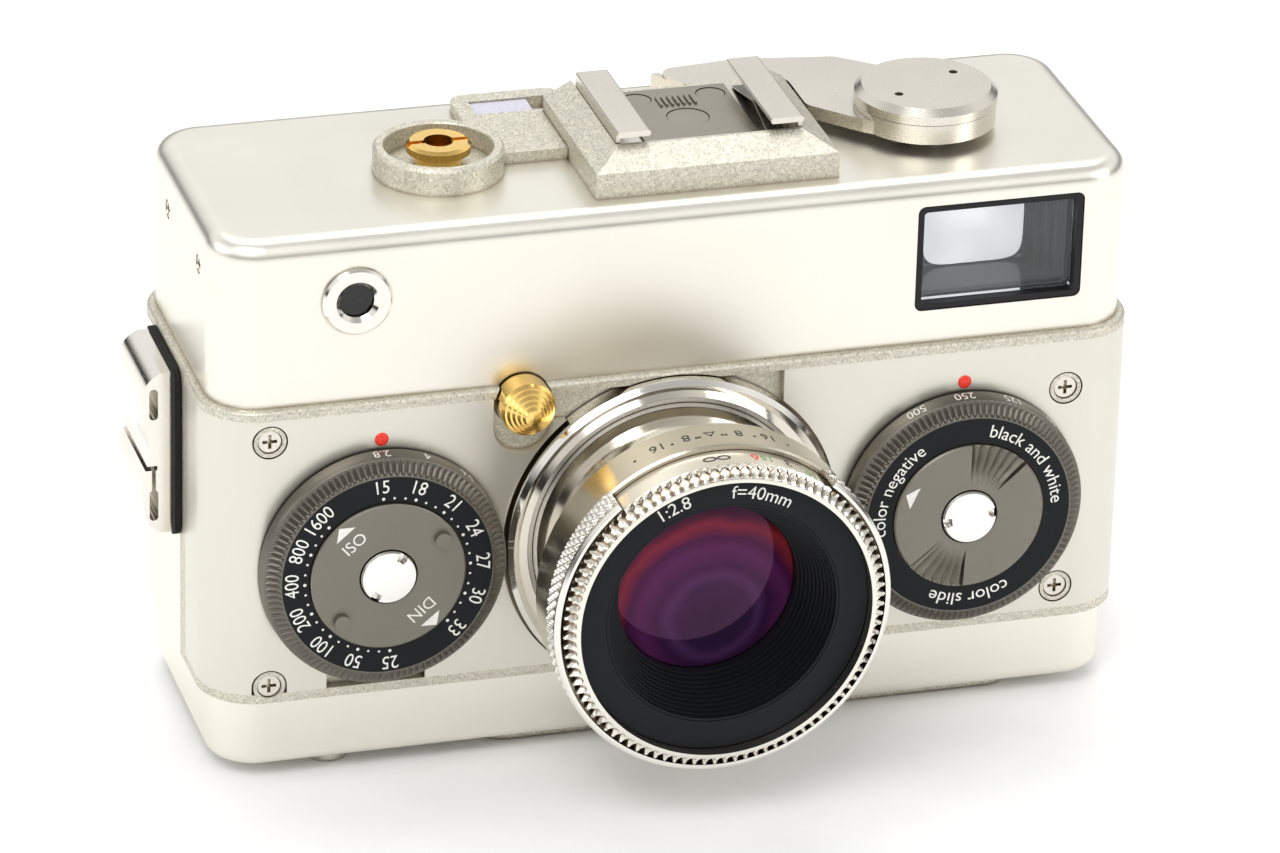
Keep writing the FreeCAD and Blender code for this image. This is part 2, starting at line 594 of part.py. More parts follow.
def meter_ring():
    return lathe_y(METER_X, METER_Z, [
        (1.75, 2.2), (2.95, 2.2), (2.95, INSET), (3.53, INSET), (3.53, 0.55), (3.3, 0.3), (2.2, 0.3),
        (1.75, 0.75)])


def meter_cell():
    """Dark window and photo cell inside the meter ring."""
    return rod_y(METER_X, METER_Z, 1.7, 1.1, 2.6)


def finder_frames():
    """Black frames that hold the front finder glass and the eyepiece."""
    front = finder_window(1.0, 3.4, 17.4, 11.3, 0.7).cut(finder_window(0, 5, 16.2, 10.1, 0.4))
    rear = finder_window(30.0, BODY_DEPTH - 0.3, 10.9, 7.9, 0.8)
    rear = rear.fuse(finder_window(28.0, 30.9, 13.0, 9.6, 0.8)).cut(finder_window(27, 35, 8.6, 5.8, 0.5))
    return Part.makeCompound([front, rear])


def finder_glasses():
    """Front glass, inner lens and eyepiece of the finder."""
    front = finder_window(2.0, 2.9, 16.1, 10.0, 0.3)
    eyepiece = finder_window(29.0, 30.2, 8.5, 5.7, 0.4)
    inner = finder_window(9.7, 10.6, 10.9, 9.9, 0.6)
    return Part.makeCompound([front, inner, eyepiece])


def finder_tunnel():
    """Stepped tapered tunnel: short steps down to the inner lens, long ones on to the eyepiece."""
    runs = ((3.5, 9.5, 4, 17.2, 12.6, 11.2, 11.2), (9.5, 27.5, 3, 12.6, 11.2, 11.2, 8.2))
    pieces = []
    for first, last, sections, width, end_width, height, end_height in runs:
        step = (last - first) / sections
        for index in range(sections):
            share = index / sections
            wide = width + (end_width - width) * share
            tall = height + (end_height - height) * share
            d0 = first + step * index
            section = finder_window(d0, d0 + step + 0.02, wide, tall, 0.3)
            pieces.append(section.cut(finder_window(d0 - 1, d0 + step + 1, wide - 1.6, tall - 1.2, 0.2)))
    return pieces[0].fuse(pieces[1:])


def button_guard():
    """Textured cup round the release button."""
    floor_top = TOP + 0.6
    return lathe_z(BUTTON_X, CONTROL_DEPTH, [
        (2.45, TOP), (6.6, TOP), (6.6, TOP + 2.45), (6.3, TOP + 2.75), (5.6, TOP + 2.75),
        (5.5, TOP + 2.6), (5.5, floor_top), (2.45, floor_top)])


def shutter_button():
    """Release button with a socket for a cable release."""
    body = lathe_z(BUTTON_X, CONTROL_DEPTH, [
        (0, 55.0), (2.4, 55.0), (2.4, TOP + 2.2), (3.27, TOP + 2.2), (3.27, TOP + 2.9),
        (2.9, TOP + 3.2), (0, TOP + 3.2)])
    body = body.cut(rod_z(BUTTON_X, CONTROL_DEPTH, 1.5, TOP - 0.8, TOP + 4))
    for side in (-1, 1):
        x = BUTTON_X + 2.5 * side
        body = body.cut(block(x - 1.2, x + 1.2, depth(CONTROL_DEPTH - 0.35), depth(CONTROL_DEPTH + 0.35),
                              TOP + 2.7, TOP + 4))
    return body


def release_spring():
    spring = coil(1.7, 0.2, 3.0, 4)
    spring.translate(Vector(BUTTON_X, depth(CONTROL_DEPTH), 51.6))
    return spring


def shoe_base():
    """Cast base of the accessory shoe with sloped sides."""
    x0, x1 = SHOE_X - SHOE_WIDTH / 2, SHOE_X + SHOE_WIDTH / 2
    y0, y1 = depth(SHOE_FRONT), depth(SHOE_BACK)
    body = block(x0, x1, y0, y1, TOP, TOP + 2.7)

    def rectangle(inset, z):
        corners = [Vector(x0 + inset, y0 + inset, z), Vector(x1 - inset, y0 + inset, z),
                   Vector(x1 - inset, y1, z), Vector(x0 + inset, y1, z)]
        return Part.makePolygon(corners + corners[:1])
    slope = Part.makeLoft([rectangle(0, TOP + 2.7), rectangle(3.0, TOP + 4.3)], True, True)
    body = body.fuse(slope)
    bed = block(SHOE_X - SHOE_SLOT / 2, SHOE_X + SHOE_SLOT / 2, depth(7.6), depth(SHOE_BACK + 1),
                TOP + SHOE_BED, TOP + 6)
    return body.cut(bed).removeSplitter()


def shoe_rails():
    """Bent sheet with two lips that hold an accessory foot."""
    left, right = SHOE_X - SHOE_SLOT / 2 + 0.05, SHOE_X + SHOE_SLOT / 2 - 0.05
    sheet = 0.4
    lip = 3.4
    d0, d1 = 7.7, 22.8
    low_z, floor_z, lip_z, top_z = (TOP + rise for rise in (SHOE_BED + 0.02, SHOE_BED + 0.25, 5.1, 5.7))
    floor = block(left, right, depth(d0), depth(d1), low_z, floor_z)
    rails = [floor]
    for inner, outer in ((left + lip, left), (right - lip, right)):
        low, high = min(inner, outer), max(inner, outer)
        upright_low = outer if outer < inner else outer - sheet
        rails.append(block(upright_low, upright_low + sheet, depth(d0), depth(d1), low_z, top_z - 0.3))
        rails.append(rounded_block(low, high, depth(d0 - 0.6), depth(d1), lip_z, top_z, 0.25, "Y"))
    return rails[0].fuse(rails[1:]).removeSplitter()


def shoe_insulator():
    """Plate between the rails that carries the flash contacts."""
    low_z = TOP + SHOE_BED + 0.27
    plate = block(SHOE_X - 5.9, SHOE_X + 5.9, depth(8.0), depth(22.6), low_z, low_z + 0.25)
    for x, d, radius in SHOE_CONTACTS:
        plate = plate.cut(rod_z(x, d, radius + 0.1, TOP + 2, TOP + 5))
    return plate


def shoe_contacts():
    low_z = TOP + SHOE_BED + 0.27
    contacts = [rod_z(x, d, radius, low_z, low_z + 0.18) for x, d, radius in SHOE_CONTACTS]
    return Part.makeCompound(contacts)


def shoe_spring():
    """Curved leaf spring under the right-hand lip."""
    x0, x1 = SHOE_X + 6.6, SHOE_X + 8.4
    points = [(8.4, 2.9), (14.5, 4.4), (21.8, 2.9), (21.8, 3.1), (14.5, 4.6), (8.4, 3.1)]
    wire = Part.makePolygon([Vector(x0, depth(d), TOP + z) for d, z in points + points[:1]])
    return Part.Face(wire).extrude(Vector(x1 - x0, 0, 0))


def indicator_frame():
    """Raised plate beside the shoe with a strip window for the exposure lamps."""
    x1 = SHOE_X - SHOE_WIDTH / 2 - 0.05
    frame = rounded_block(-16.8, x1 + 3, depth(14.6), depth(29.8), TOP, TOP + 1.2, 1.6)
    frame = frame.cut(block(x1, x1 + 5, depth(10), depth(SHOE_BACK + 0.05), TOP - 1, TOP + 3))
    frame = frame.cut(block(-15.1, -7.2, depth(24.6), depth(27.9), TOP - 1, TOP + 3))
    return frame.cut(rod_z(BUTTON_X, CONTROL_DEPTH, 6.7, TOP - 1, TOP + 3))


def indicator_window():
    return block(-15.05, -9.05, depth(24.65), depth(27.85), TOP + 0.1, TOP + 1.0)


def lamp_strip():
    """Narrow board under the indicator window with three lamps."""
    board = block(-14.8, -9.3, depth(25.2), depth(27.3), TOP - 1.2, TOP - 0.7)
    for index in range(3):
        x = -13.8 + 1.75 * index
        board = board.fuse(rod_z(x, 26.25, 0.5, TOP - 0.8, TOP - 0.2))
    return board


# ---------------------------------------------------------------- film transport

def wind_lever():
    """Flat lever from the hub to the back corner of the shoe, with its tip bent down."""
    low, high = TOP + 0.9, TOP + 2.9
    hub = rod_z(LEVER_X, CONTROL_DEPTH, 7.2, low, high)
    points = [Vector(x, depth(d), low) for x, d in
              ((27.0, 8.2), (22.0, 12.4), (17.55, 17.3), (17.55, 24.6), (7.2, 24.6), (4.6, 29.2),
               (14.0, 30.2), (24.0, 28.6), (33.0, 21.0))]
    blade = Part.Face(Part.makePolygon(points + points[:1])).extrude(Vector(0, 0, high - low))
    upright = [e for e in blade.Edges if abs(e.tangentAt(e.FirstParameter).z) > 0.9]
    blade = blade.makeFillet(1.5, upright)
    blade = blade.cut(block(0, 60, depth(0), depth(40), TOP + 2.3, TOP + 4)).cut(
        block(3, 14, depth(20), depth(40), TOP - 1, TOP + 1.5))
    lip_points = [Vector(x, depth(d), TOP + 0.35) for x, d in
                  ((7.2, 24.6), (4.6, 29.2), (5.4, 29.28), (8.0, 24.6))]
    lip = Part.Face(Part.makePolygon(lip_points + lip_points[:1])).extrude(Vector(0, 0, 1.6))
    lever = hub.fuse([blade, lip]).removeSplitter()
    return lever.cut(rod_z(LEVER_X, CONTROL_DEPTH, 2.5 + 0.02, 50, 70))


def lever_cap():
    """Hub cap with a polished chamfer and two spanner holes."""
    cap = lathe_z(LEVER_X, CONTROL_DEPTH, [
        (0, TOP + 3.0), (7.3, TOP + 3.0), (7.3, TOP + 3.9), (6.6, TOP + 4.6), (0, TOP + 4.6)])
    for side in (-1, 1):
        cap = cap.cut(rod_z(LEVER_X + side * 3.56, CONTROL_DEPTH + side * 2.1, 0.45, TOP + 3.4, TOP + 5))
    return cap


def lever_shaft():
    """Short shaft under the hub that ends in the wind wheel."""
    shaft = rod_z(LEVER_X, CONTROL_DEPTH, 2.5, 57.4, TOP + 2.95)
    wheel = rod_z(LEVER_X, CONTROL_DEPTH, 5.6, 57.35, 58.1)
    return shaft.fuse(wheel)


def sprocket():
    """Film sprocket with eight teeth at each end, on the shaft from the wind wheel."""
    x, d = SPROCKET_X, SPROCKET_DEPTH
    drum = rod_z(x, d, 5.2, LENS_Z - FILM_WIDTH / 2, LENS_Z + FILM_WIDTH / 2)
    waist = tube_z(x, d, 6, 4.2, LENS_Z - 12, LENS_Z + 12)
    body = drum.cut(waist).fuse(rod_z(x, d, 1.0, 3.2, 58.0))
    body = body.fuse(rod_z(x, d, 2.02, 57.35, 58.1))
    for index in range(8):
        angle = math.radians(45 * index)
        for z in (LENS_Z - 14.2, LENS_Z + 14.2):
            tooth = Part.makeCone(0.7, 0.35, 1.3, Vector(4.9, 0, z), Vector(1, 0, 0))
            tooth.rotate(Vector(0, 0, 0), Vector(0, 0, 1), math.degrees(angle))
            tooth.translate(Vector(x, depth(d), 0))
            body = body.fuse(tooth)
    return body


def take_up_spool():
    """Spool that winds the exposed film, with flanges and a slot for the film end."""
    x, d = SPOOL_X, SPOOL_DEPTH
    half = FILM_WIDTH / 2 + 0.2
    core = rod_z(x, d, 5.0, LENS_Z - half, LENS_Z + half)
    slot = block(x - 0.6, x + 0.6, depth(d - 6), depth(d + 6), LENS_Z - 12, LENS_Z + 12)
    core = core.cut(slot).fuse(rod_z(x, d, 1.0, 3.2, DECK + 1.2))
    for z in (LENS_Z - half - 0.8, LENS_Z + half):
        core = core.fuse(rod_z(x, d, 6.6, z, z + 0.8))
    return core


def counter_disc():
    """Frame counter disc behind the window in the base."""
    disc = rod_z(COUNTER_X, COUNTER_DEPTH, 5.0, 2.62, 2.92)
    return disc.fuse(rod_z(COUNTER_X, COUNTER_DEPTH, 0.8, 2.7, 4.4))


# ---------------------------------------------------------------- electrics

def circuit_board():
    """Main board over the deck, and the lamp strip of the indicator window."""
    board = block(-17.5, 18.0, depth(6.0), depth(22.0), 44.5, 45.5)
    for index in range(4):
        x = -12.0 + 7.5 * index
        board = board.fuse(block(x, x + 4.5, depth(9), depth(13), 45.4, 46.9))
    return Part.makeCompound([board, lamp_strip()])


def battery():
    """Round button-stack battery under the top cover."""
    cell = rod_x(depth(26.2), 48.2, 3.9, -8.0, 12.0)
    return cell.fuse(rod_x(depth(26.2), 48.2, 2.4, 12.0, 12.8))


# ---------------------------------------------------------------- strap lug

def strap_lug():
    """Polished side lug: a long bar with an eye at each end and a gap that lets a strap in."""
    face = -BODY_WIDTH / 2
    profile = ((23.1, 1.9), (24.2, 3.2), (26.4, 3.8), (29.4, 3.75), (31.2, 3.15), (34.0, 3.4),
               (37.2, 3.9), (39.4, 3.5), (40.8, 1.9))
    edge = [Vector(face - reach, depth(12.9), z) for z, reach in profile]
    curve = Part.BSplineCurve()
    curve.interpolate(edge)
    inner_top = Vector(face - 0.75, depth(12.9), edge[-1].z)
    inner_bottom = Vector(face - 0.75, depth(12.9), edge[0].z)
    wire = Part.Wire([
        curve.toShape(), Part.makeLine(edge[-1], inner_top), Part.makeLine(inner_top, inner_bottom),
        Part.makeLine(inner_bottom, edge[0])])
    lug = Part.Face(wire).extrude(Vector(0, 10.6, 0))
    lug = lug.common(rounded_block(face - 5, face + 2, depth(12.9), depth(23.5), 20, 45, 1.6))
    for z in (26.2, 37.4):
        eye = rounded_block(face - 3.1, face - 2.2, depth(10), depth(27), z - 1.7, z + 1.7, 0.44, "Y")
        lug = lug.cut(eye)
    lug = lug.cut(block(face - 5, face - 2.3, depth(10), depth(27), 30.1, 30.6))
    lug = lug.cut(block(face - 2.85, face - 2.45, depth(10), depth(27), 27.0, 30.6))
    stem = block(face - 0.8, face + 1.9, depth(14.9), depth(21.5), 27.2, 38.0)
    return lug.fuse(stem).removeSplitter()


def lug_pad():
    """Rubber pad between the lug and the body."""
    face = -BODY_WIDTH / 2
    pad = rounded_block(face - 0.74, face - 0.12, depth(11.8), depth(24.6), 22.7, 41.2, 1.6, "X")
    return pad.cut(block(face - 2, face + 1, depth(14.8), depth(21.6), 27.1, 38.1))


def front_glass():
    """Front pair of glasses, in front of the shutter."""
    front = lens_element(-12.05, -9.6, 9.2, 1.1, -0.4)
    second = lens_element(-9.1, -7.0, 8.4, 1.0, -0.9)
    return Part.makeCompound([front, second])


def rear_glass():
    return lens_element(-1.2, 1.4, 7.0, -0.4, 0.9)


def build():
    """Every separate piece of the camera under its node name."""
    return {
        # camera body
        "chassis": chassis(),
        "light_box": light_box(),
        "front_panel_left": front_panel(-1),
        "front_panel_right": front_panel(1),
        "top_cover": top_cover(),
        "screws": Part.makeCompound(panel_screws() + cover_screws()),
        "lens_flange": lens_flange(),
        "meter_ring": meter_ring(),
        "meter_cell": meter_cell(),
        "finder_frames": finder_frames(),
        "finder_glasses": finder_glasses(),
        "finder_tunnel": finder_tunnel(),
        "button_guard": button_guard(),
        "release_spring": release_spring(),
        "shoe_base": shoe_base(),
        "shoe_rails": shoe_rails(),
        "shoe_insulator": shoe_insulator(),
        "shoe_contacts": shoe_contacts(),
        "shoe_spring": shoe_spring(),
        "indicator_frame": indicator_frame(),
        "indicator_window": indicator_window(),
        "circuit_board": circuit_board(),
        "battery": battery(),
        "strap_lug": strap_lug(),
        "lug_pad": lug_pad(),
        # buttons and film transport
        "lock_button": lock_button(),
        "shutter_button": shutter_button(),
        "wind_lever": wind_lever(),
        "lever_cap": lever_cap(),
        "lever_shaft": lever_shaft(),
        "sprocket": sprocket(),
        "take_up_spool": take_up_spool(),
        "counter_disc": counter_disc(),
        # lens
        "guide_sleeve": guide_sleeve(),
        "lens_tube": lens_tube(),
        "depth_ring": depth_ring(),
        "barrel_grip": barrel_grip(),
        "shutter_housing": shutter_housing(),
        "iris_blades": iris_blades(),
        "rear_glass": rear_glass(),
        "helicoid_sleeve": helicoid_sleeve(),
        "focus_ring": focus_ring(),
        "name_ring": name_ring(),
        "front_cell": front_cell(),
        "front_glass": front_glass(),
        # dials
        "aperture_dial": dial_ring(APERTURE_X, APERTURE_Z),
        "film_speed_disc": dial_disc(APERTURE_X, APERTURE_Z, (33, 223)),
        "aperture_cap": dial_cap(APERTURE_X, APERTURE_Z, 56),
        "speed_dial": dial_ring(SPEED_X, SPEED_Z),
        "film_type_disc": dial_disc(SPEED_X, SPEED_Z, ()),
        "speed_cap": dial_cap(SPEED_X, SPEED_Z, 8),
        # back and base
        "back_cover": back_cover(),
        "base_cover": base_cover(),
        "base_plate": base_plate(),
        "tripod_socket": tripod_socket(),
        "latch_key": latch_key(),
        "rewind_fork": rewind_fork(),
        "rewind_handle": rewind_handle(),
        "pressure_plate": pressure_plate(),
        "plate_springs": plate_springs(),
    }


def main():
    os.makedirs("parts", exist_ok=True)
    for node, shape in build().items():
        shape.exportStep(f"parts/{node}.step")
        solids = len(shape.Solids)
        print(f"{node:22s} solids {solids:2d} valid {shape.isValid()} volume {shape.Volume:10.2f}")


main()
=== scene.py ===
"""Looks of a compact 35 mm film camera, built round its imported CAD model.

Lengths are in millimetres and become metres where Blender gets them. A depth is measured
back from the front panels, so what stands in front of them has a negative depth.
Angles on the lens and dials run anticlockwise from +X, seen from the front.
"""

import json
import math

import bpy
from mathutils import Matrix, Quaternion, Vector


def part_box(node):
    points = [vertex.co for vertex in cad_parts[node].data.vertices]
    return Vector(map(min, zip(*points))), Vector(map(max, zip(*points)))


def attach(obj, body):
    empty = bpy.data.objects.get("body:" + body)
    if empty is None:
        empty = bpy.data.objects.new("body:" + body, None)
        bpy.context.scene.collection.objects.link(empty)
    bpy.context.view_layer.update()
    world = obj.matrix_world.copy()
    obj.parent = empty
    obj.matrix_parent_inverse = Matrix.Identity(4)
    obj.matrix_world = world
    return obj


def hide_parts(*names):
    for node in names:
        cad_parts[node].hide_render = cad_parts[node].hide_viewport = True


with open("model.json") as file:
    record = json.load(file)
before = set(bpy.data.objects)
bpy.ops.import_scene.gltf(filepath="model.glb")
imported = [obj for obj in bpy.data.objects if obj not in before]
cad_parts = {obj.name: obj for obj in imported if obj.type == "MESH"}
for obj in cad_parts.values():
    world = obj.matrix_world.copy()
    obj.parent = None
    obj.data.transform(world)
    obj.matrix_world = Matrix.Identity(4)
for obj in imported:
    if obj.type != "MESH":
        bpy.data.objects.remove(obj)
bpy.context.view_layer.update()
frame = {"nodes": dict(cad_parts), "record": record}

MM = 0.001
PAINT = 0.015           # how far printed marks stand off the metal
SHARP = 32              # faces that meet at more than this many degrees keep an edge
CAPITAL = 0.69          # height of a capital letter in a font of size 1
SHADE_REACH = 0.7       # how near surfaces must be for painted shade to gather between them


# ---------------------------------------------------------------- places, from the frame

def low(node):
    """Lowest corner of a CAD node's box."""
    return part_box(node)[0] / MM


def high(node):
    """Highest corner of a CAD node's box."""
    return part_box(node)[1] / MM


def axis_of(node):
    """(x, z) of a turned node whose axis runs front to back."""
    middle = (low(node) + high(node)) / 2
    return middle.x, middle.z


def radius_of(node):
    return (high(node).x - low(node).x) / 2


FACE_Y = low("front_panel_left").y
LENS = axis_of("name_ring")
APERTURE = axis_of("aperture_dial")
SPEED = axis_of("speed_dial")
FINDER_LENS = 9.6       # depth of the lens inside the finder
DIAL_FACE = -3.0        # depth of the flat front of both dials
NUMBER_FACE = DIAL_FACE - 0.02
INDEX_HEIGHT = 13.6     # from a dial's axis up to its red dot


def y_at(depth):
    return FACE_Y + depth


def depth_of(y):
    return y - FACE_Y


# ---------------------------------------------------------------- meshes

def finish_piece(name, mesh, material, body, stands_for=(), sharp=SHARP):
    """Turns a mesh into a piece that rides on a body and may stand for CAD nodes."""
    mesh.materials.append(material)
    mesh.shade_smooth()
    mesh.set_sharp_from_angle(angle=math.radians(sharp))
    piece = bpy.data.objects.new(name, mesh)
    bpy.context.scene.collection.objects.link(piece)
    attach(piece, body)
    if stands_for:
        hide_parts(*stands_for)


def mesh_from(name, points, faces):
    """Mesh from points in millimetres."""
    mesh = bpy.data.meshes.new(name)
    mesh.from_pydata([(x * MM, y * MM, z * MM) for x, y, z in points], [], faces)
    mesh.update()
    return mesh


def on_axis(axis, radius, angle, depth):
    """Point at a radius and angle round an axis that runs front to back."""
    return axis[0] + radius * math.cos(angle), y_at(depth), axis[1] + radius * math.sin(angle)


def turned(name, axis, profile, columns, shape=None, start=0.0, sweep=360.0, closed=True):
    """Surface turned about an axis; profile points are (radius, depth).

    shape(angle, radius, depth, row) gives the (radius, depth) of a point that is cut or raised.
    """
    whole = sweep == 360.0
    rows = len(profile)
    turns = columns if whole else columns + 1
    points = []
    for column in range(turns):
        angle = math.radians(start + sweep * column / columns)
        for row, (radius, depth) in enumerate(profile):
            if shape:
                radius, depth = shape(angle, radius, depth, row)
            points.append(on_axis(axis, radius, angle, depth))
    faces = []
    for column in range(columns):
        here, there = column * rows, ((column + 1) % turns) * rows
        for row in range(rows if closed else rows - 1):
            following = (row + 1) % rows
            faces.append((here + row, there + row, there + following, here + following))
    if not whole:
        faces.append(tuple(range(rows)))
        faces.append(tuple(reversed(range(columns * rows, turns * rows))))
    return mesh_from(name, points, faces)


def scallop(share):
    """Depth of a hollow flute across its width: 0 at its two ridges, 1 in its middle."""
    return 1 - (2 * (share % 1.0) - 1) ** 2


def zigzag(share):
    """Triangle wave between 0 and 1."""
    return abs(2 * (share % 1.0) - 1)


def steps(first, last, count):
    """Evenly spaced values from first to last, both included."""
    return [first + (last - first) * index / count for index in range(count + 1)]


# ---------------------------------------------------------------- lettering

def letters(text, height):
    """Flat outline mesh of a text, centred, with capitals of the given height."""
    curve = bpy.data.curves.new("letters", "FONT")
    curve.body = text
    curve.size = height / CAPITAL
    curve.resolution_u = 3
    stand_in = bpy.data.objects.new("letters", curve)
    bpy.context.scene.collection.objects.link(stand_in)
    bpy.context.view_layer.update()
    mesh = bpy.data.meshes.new_from_object(stand_in)
    bpy.data.objects.remove(stand_in)
    middle = (min(v.co.x for v in mesh.vertices) + max(v.co.x for v in mesh.vertices)) / 2
    flat = [(v.co.x - middle, v.co.y - height / 2) for v in mesh.vertices]
    return flat, [tuple(face.vertices) for face in mesh.polygons]


def dot(radius):
    """Flat round dot."""
    sides = 16
    flat = [(radius * math.cos(2 * math.pi * k / sides), radius * math.sin(2 * math.pi * k / sides))
            for k in range(sides)]
    return flat, [tuple(range(sides))]


class Marks:
    """Printed marks that share one material and one body, gathered into one mesh."""

    def __init__(self):
        self.points = []
        self.faces = []

    def add(self, flat, place):
        first = len(self.points)
        outline, faces = flat
        self.points += [place(x, y) for x, y in outline]
        self.faces += [tuple(first + index for index in face) for face in faces]

    def piece(self, name, material, body):
        mesh = mesh_from(name, self.points, self.faces)
        finish_piece(name, mesh, material, body)


def facing(axis, radius, degrees, depth, narrow=1.0):
    """Marks on a flat ring, with their tops away from the axis."""
    def place(x, y):
        angle = math.radians(degrees) - x * narrow / radius
        return on_axis(axis, radius + y, angle, depth - PAINT)
    return place


def flat_at(axis, radius, degrees, depth, turn):
    """Marks set straight on a flat face, turned by an angle about their own middle."""
    cx, _, cz = on_axis(axis, radius, math.radians(degrees), depth)
    c, s = math.cos(math.radians(turn)), math.sin(math.radians(turn))

    def place(x, y):
        return cx + x * c - y * s, y_at(depth - PAINT), cz + x * s + y * c
    return place


def around(axis, radius, degrees, depth, narrow=1.0, slope=0.0):
    """Marks round a cylinder or cone, read from above the camera."""
    def place(x, y):
        angle = math.radians(degrees) + x * narrow / radius
        return on_axis(axis, radius + PAINT - slope * y, angle, depth - y)
    return place


# ---------------------------------------------------------------- materials

def add_node(tree, kind, inputs=None, **settings):
    """Adds a shader node; a socket given as an input is linked, any other value is set."""
    node = tree.nodes.new(kind)
    for key, value in settings.items():
        setattr(node, key, value)
    for key, value in (inputs or {}).items():
        if isinstance(value, bpy.types.NodeSocket):
            tree.links.new(value, node.inputs[key])
        else:
            node.inputs[key].default_value = value
    return node


def new_material(name, **constants):
    """Material with a Principled shader whose constant values are set on its own sockets."""
    material = bpy.data.materials.new(name)
    material.use_nodes = True
    tree = material.node_tree
    shader = tree.nodes["Principled BSDF"]
    for key, value in constants.items():
        shader.inputs[key.replace("_", " ")].default_value = value
    place = add_node(tree, "ShaderNodeTexCoord").outputs["Object"]
    return material, tree, shader, place


def shade(colour, factor):
    """Colour made lighter or darker, with full alpha."""
    return tuple(min(1.0, channel * factor) for channel in colour) + (1.0,)


def noise(tree, place, size, detail=3.0, roughness=0.6):
    """Noise whose features are about this many millimetres across."""
    return add_node(tree, "ShaderNodeTexNoise",
                    {"Vector": place, "Scale": 1 / (size * MM), "Detail": detail, "Roughness": roughness})


def ramp(tree, factor, stops):
    """Colour that follows a factor through (position, colour) stops."""
    node = add_node(tree, "ShaderNodeValToRGB", {"Fac": factor})
    elements = node.color_ramp.elements
    while len(elements) < len(stops):
        elements.new(0.5)
    for element, (position, colour) in zip(elements, stops):
        element.position = position
        element.color = colour
    return node.outputs["Color"]


def spread(tree, factor, lowest, highest):
    """Noise, most of which lies between 0.3 and 0.7, spread over a range of values."""
    node = add_node(tree, "ShaderNodeMapRange", {
        "Value": factor, "From Min": 0.3, "From Max": 0.7, "To Min": lowest, "To Max": highest})
    return node.outputs["Result"]


def rings_round(tree, place, axis):
    """Coordinates (radius, position along the axis), so noise on them runs round a turned part."""
    centre = (axis[0] * MM, 0.0, axis[1] * MM)
    across = (1.0, 0.0, 1.0)
    offset = add_node(tree, "ShaderNodeVectorMath", {0: place, 1: centre}, operation="SUBTRACT")
    flat = add_node(tree, "ShaderNodeVectorMath", {0: offset.outputs[0], 1: across}, operation="MULTIPLY")
    length = add_node(tree, "ShaderNodeVectorMath", {0: flat.outputs[0]}, operation="LENGTH")
    parts = add_node(tree, "ShaderNodeSeparateXYZ", {0: place})
    pair = add_node(tree, "ShaderNodeCombineXYZ", {"X": length.outputs["Value"], "Y": parts.outputs["Y"]})
    return pair.outputs[0]


def in_corners(tree, socket, colour):
    """The same colour with painted shade: darkened and browned where surfaces meet closely."""
    # painted shade: a dark brown colour laid into crevices in place of the shade there
    crevice_shade = (colour[0] * 0.34, colour[1] * 0.26, colour[2] * 0.18, 1.0)
    occlusion = add_node(tree, "ShaderNodeAmbientOcclusion", {"Distance": SHADE_REACH * MM}, samples=6)
    openness = occlusion.outputs["AO"]
    share = add_node(tree, "ShaderNodeMapRange", {"Value": openness, "From Min": 0.15, "From Max": 0.75})
    mix = add_node(tree, "ShaderNodeMix", {0: share.outputs["Result"], 6: crevice_shade, 7: socket},
                   data_type="RGBA")
    return mix.outputs[2]


def metal(name, colour, roughness, grain=0.12, bump=0.004, mottle=0.05, rough_range=0.06,
          round_axis=None, metallic=1.0, warm=None, **constants):
    """Metal with a fine grain, broad soft mottling and, if turned, marks that run round it."""
    material, tree, shader, place = new_material(name, Metallic=metallic, **constants)
    fine_place = rings_round(tree, place, round_axis) if round_axis else place
    fine = noise(tree, fine_place, grain, 4.0, 0.7).outputs["Fac"]
    broad = noise(tree, place, 14.0, 2.0).outputs["Fac"]
    blend = add_node(tree, "ShaderNodeMath", {0: fine, 1: broad}, operation="ADD").outputs[0]
    half = add_node(tree, "ShaderNodeMath", {0: blend, 1: 0.5}, operation="MULTIPLY").outputs[0]
    dark = shade(warm or colour, 1 - mottle * (1 if warm else 2))
    shader_colour = ramp(tree, half, [(0.34, dark), (0.62, shade(colour, 1 + mottle))])
    # base colour with painted shade in its crevices
    tree.links.new(in_corners(tree, shader_colour, colour), shader.inputs["Base Color"])
    tree.links.new(spread(tree, half, roughness - rough_range, roughness + rough_range),
                   shader.inputs["Roughness"])
    relief = add_node(tree, "ShaderNodeBump", {"Height": fine, "Strength": 0.6, "Distance": bump * MM})
    tree.links.new(relief.outputs["Normal"], shader.inputs["Normal"])
    return material


def cast_metal(name, colour):
    """Blasted casting: dull ground with bright and dark grains up to about 0.2 mm across."""
    material, tree, shader, place = new_material(name, Metallic=0.85)
    cells = add_node(tree, "ShaderNodeTexVoronoi", {"Vector": place, "Scale": 1 / (0.2 * MM)})
    grain = noise(tree, place, 0.16, 4.0, 0.8).outputs["Fac"]
    tone = add_node(tree, "ShaderNodeMath", {0: grain, 1: cells.outputs["Color"]}, operation="ADD").outputs[0]
    half = add_node(tree, "ShaderNodeMath", {0: tone, 1: 0.5}, operation="MULTIPLY").outputs[0]
    stops = [(0.22, shade(colour, 0.60)), (0.46, shade(colour, 0.92)), (0.62, shade(colour, 1.02)),
             (0.8, shade(colour, 1.35))]
    # base colour with painted shade in its crevices
    tree.links.new(in_corners(tree, ramp(tree, half, stops), colour), shader.inputs["Base Color"])
    tree.links.new(spread(tree, grain, 0.36, 0.6), shader.inputs["Roughness"])
    relief = add_node(tree, "ShaderNodeBump", {"Height": half, "Strength": 0.7, "Distance": 0.03 * MM})
    tree.links.new(relief.outputs["Normal"], shader.inputs["Normal"])
    return material


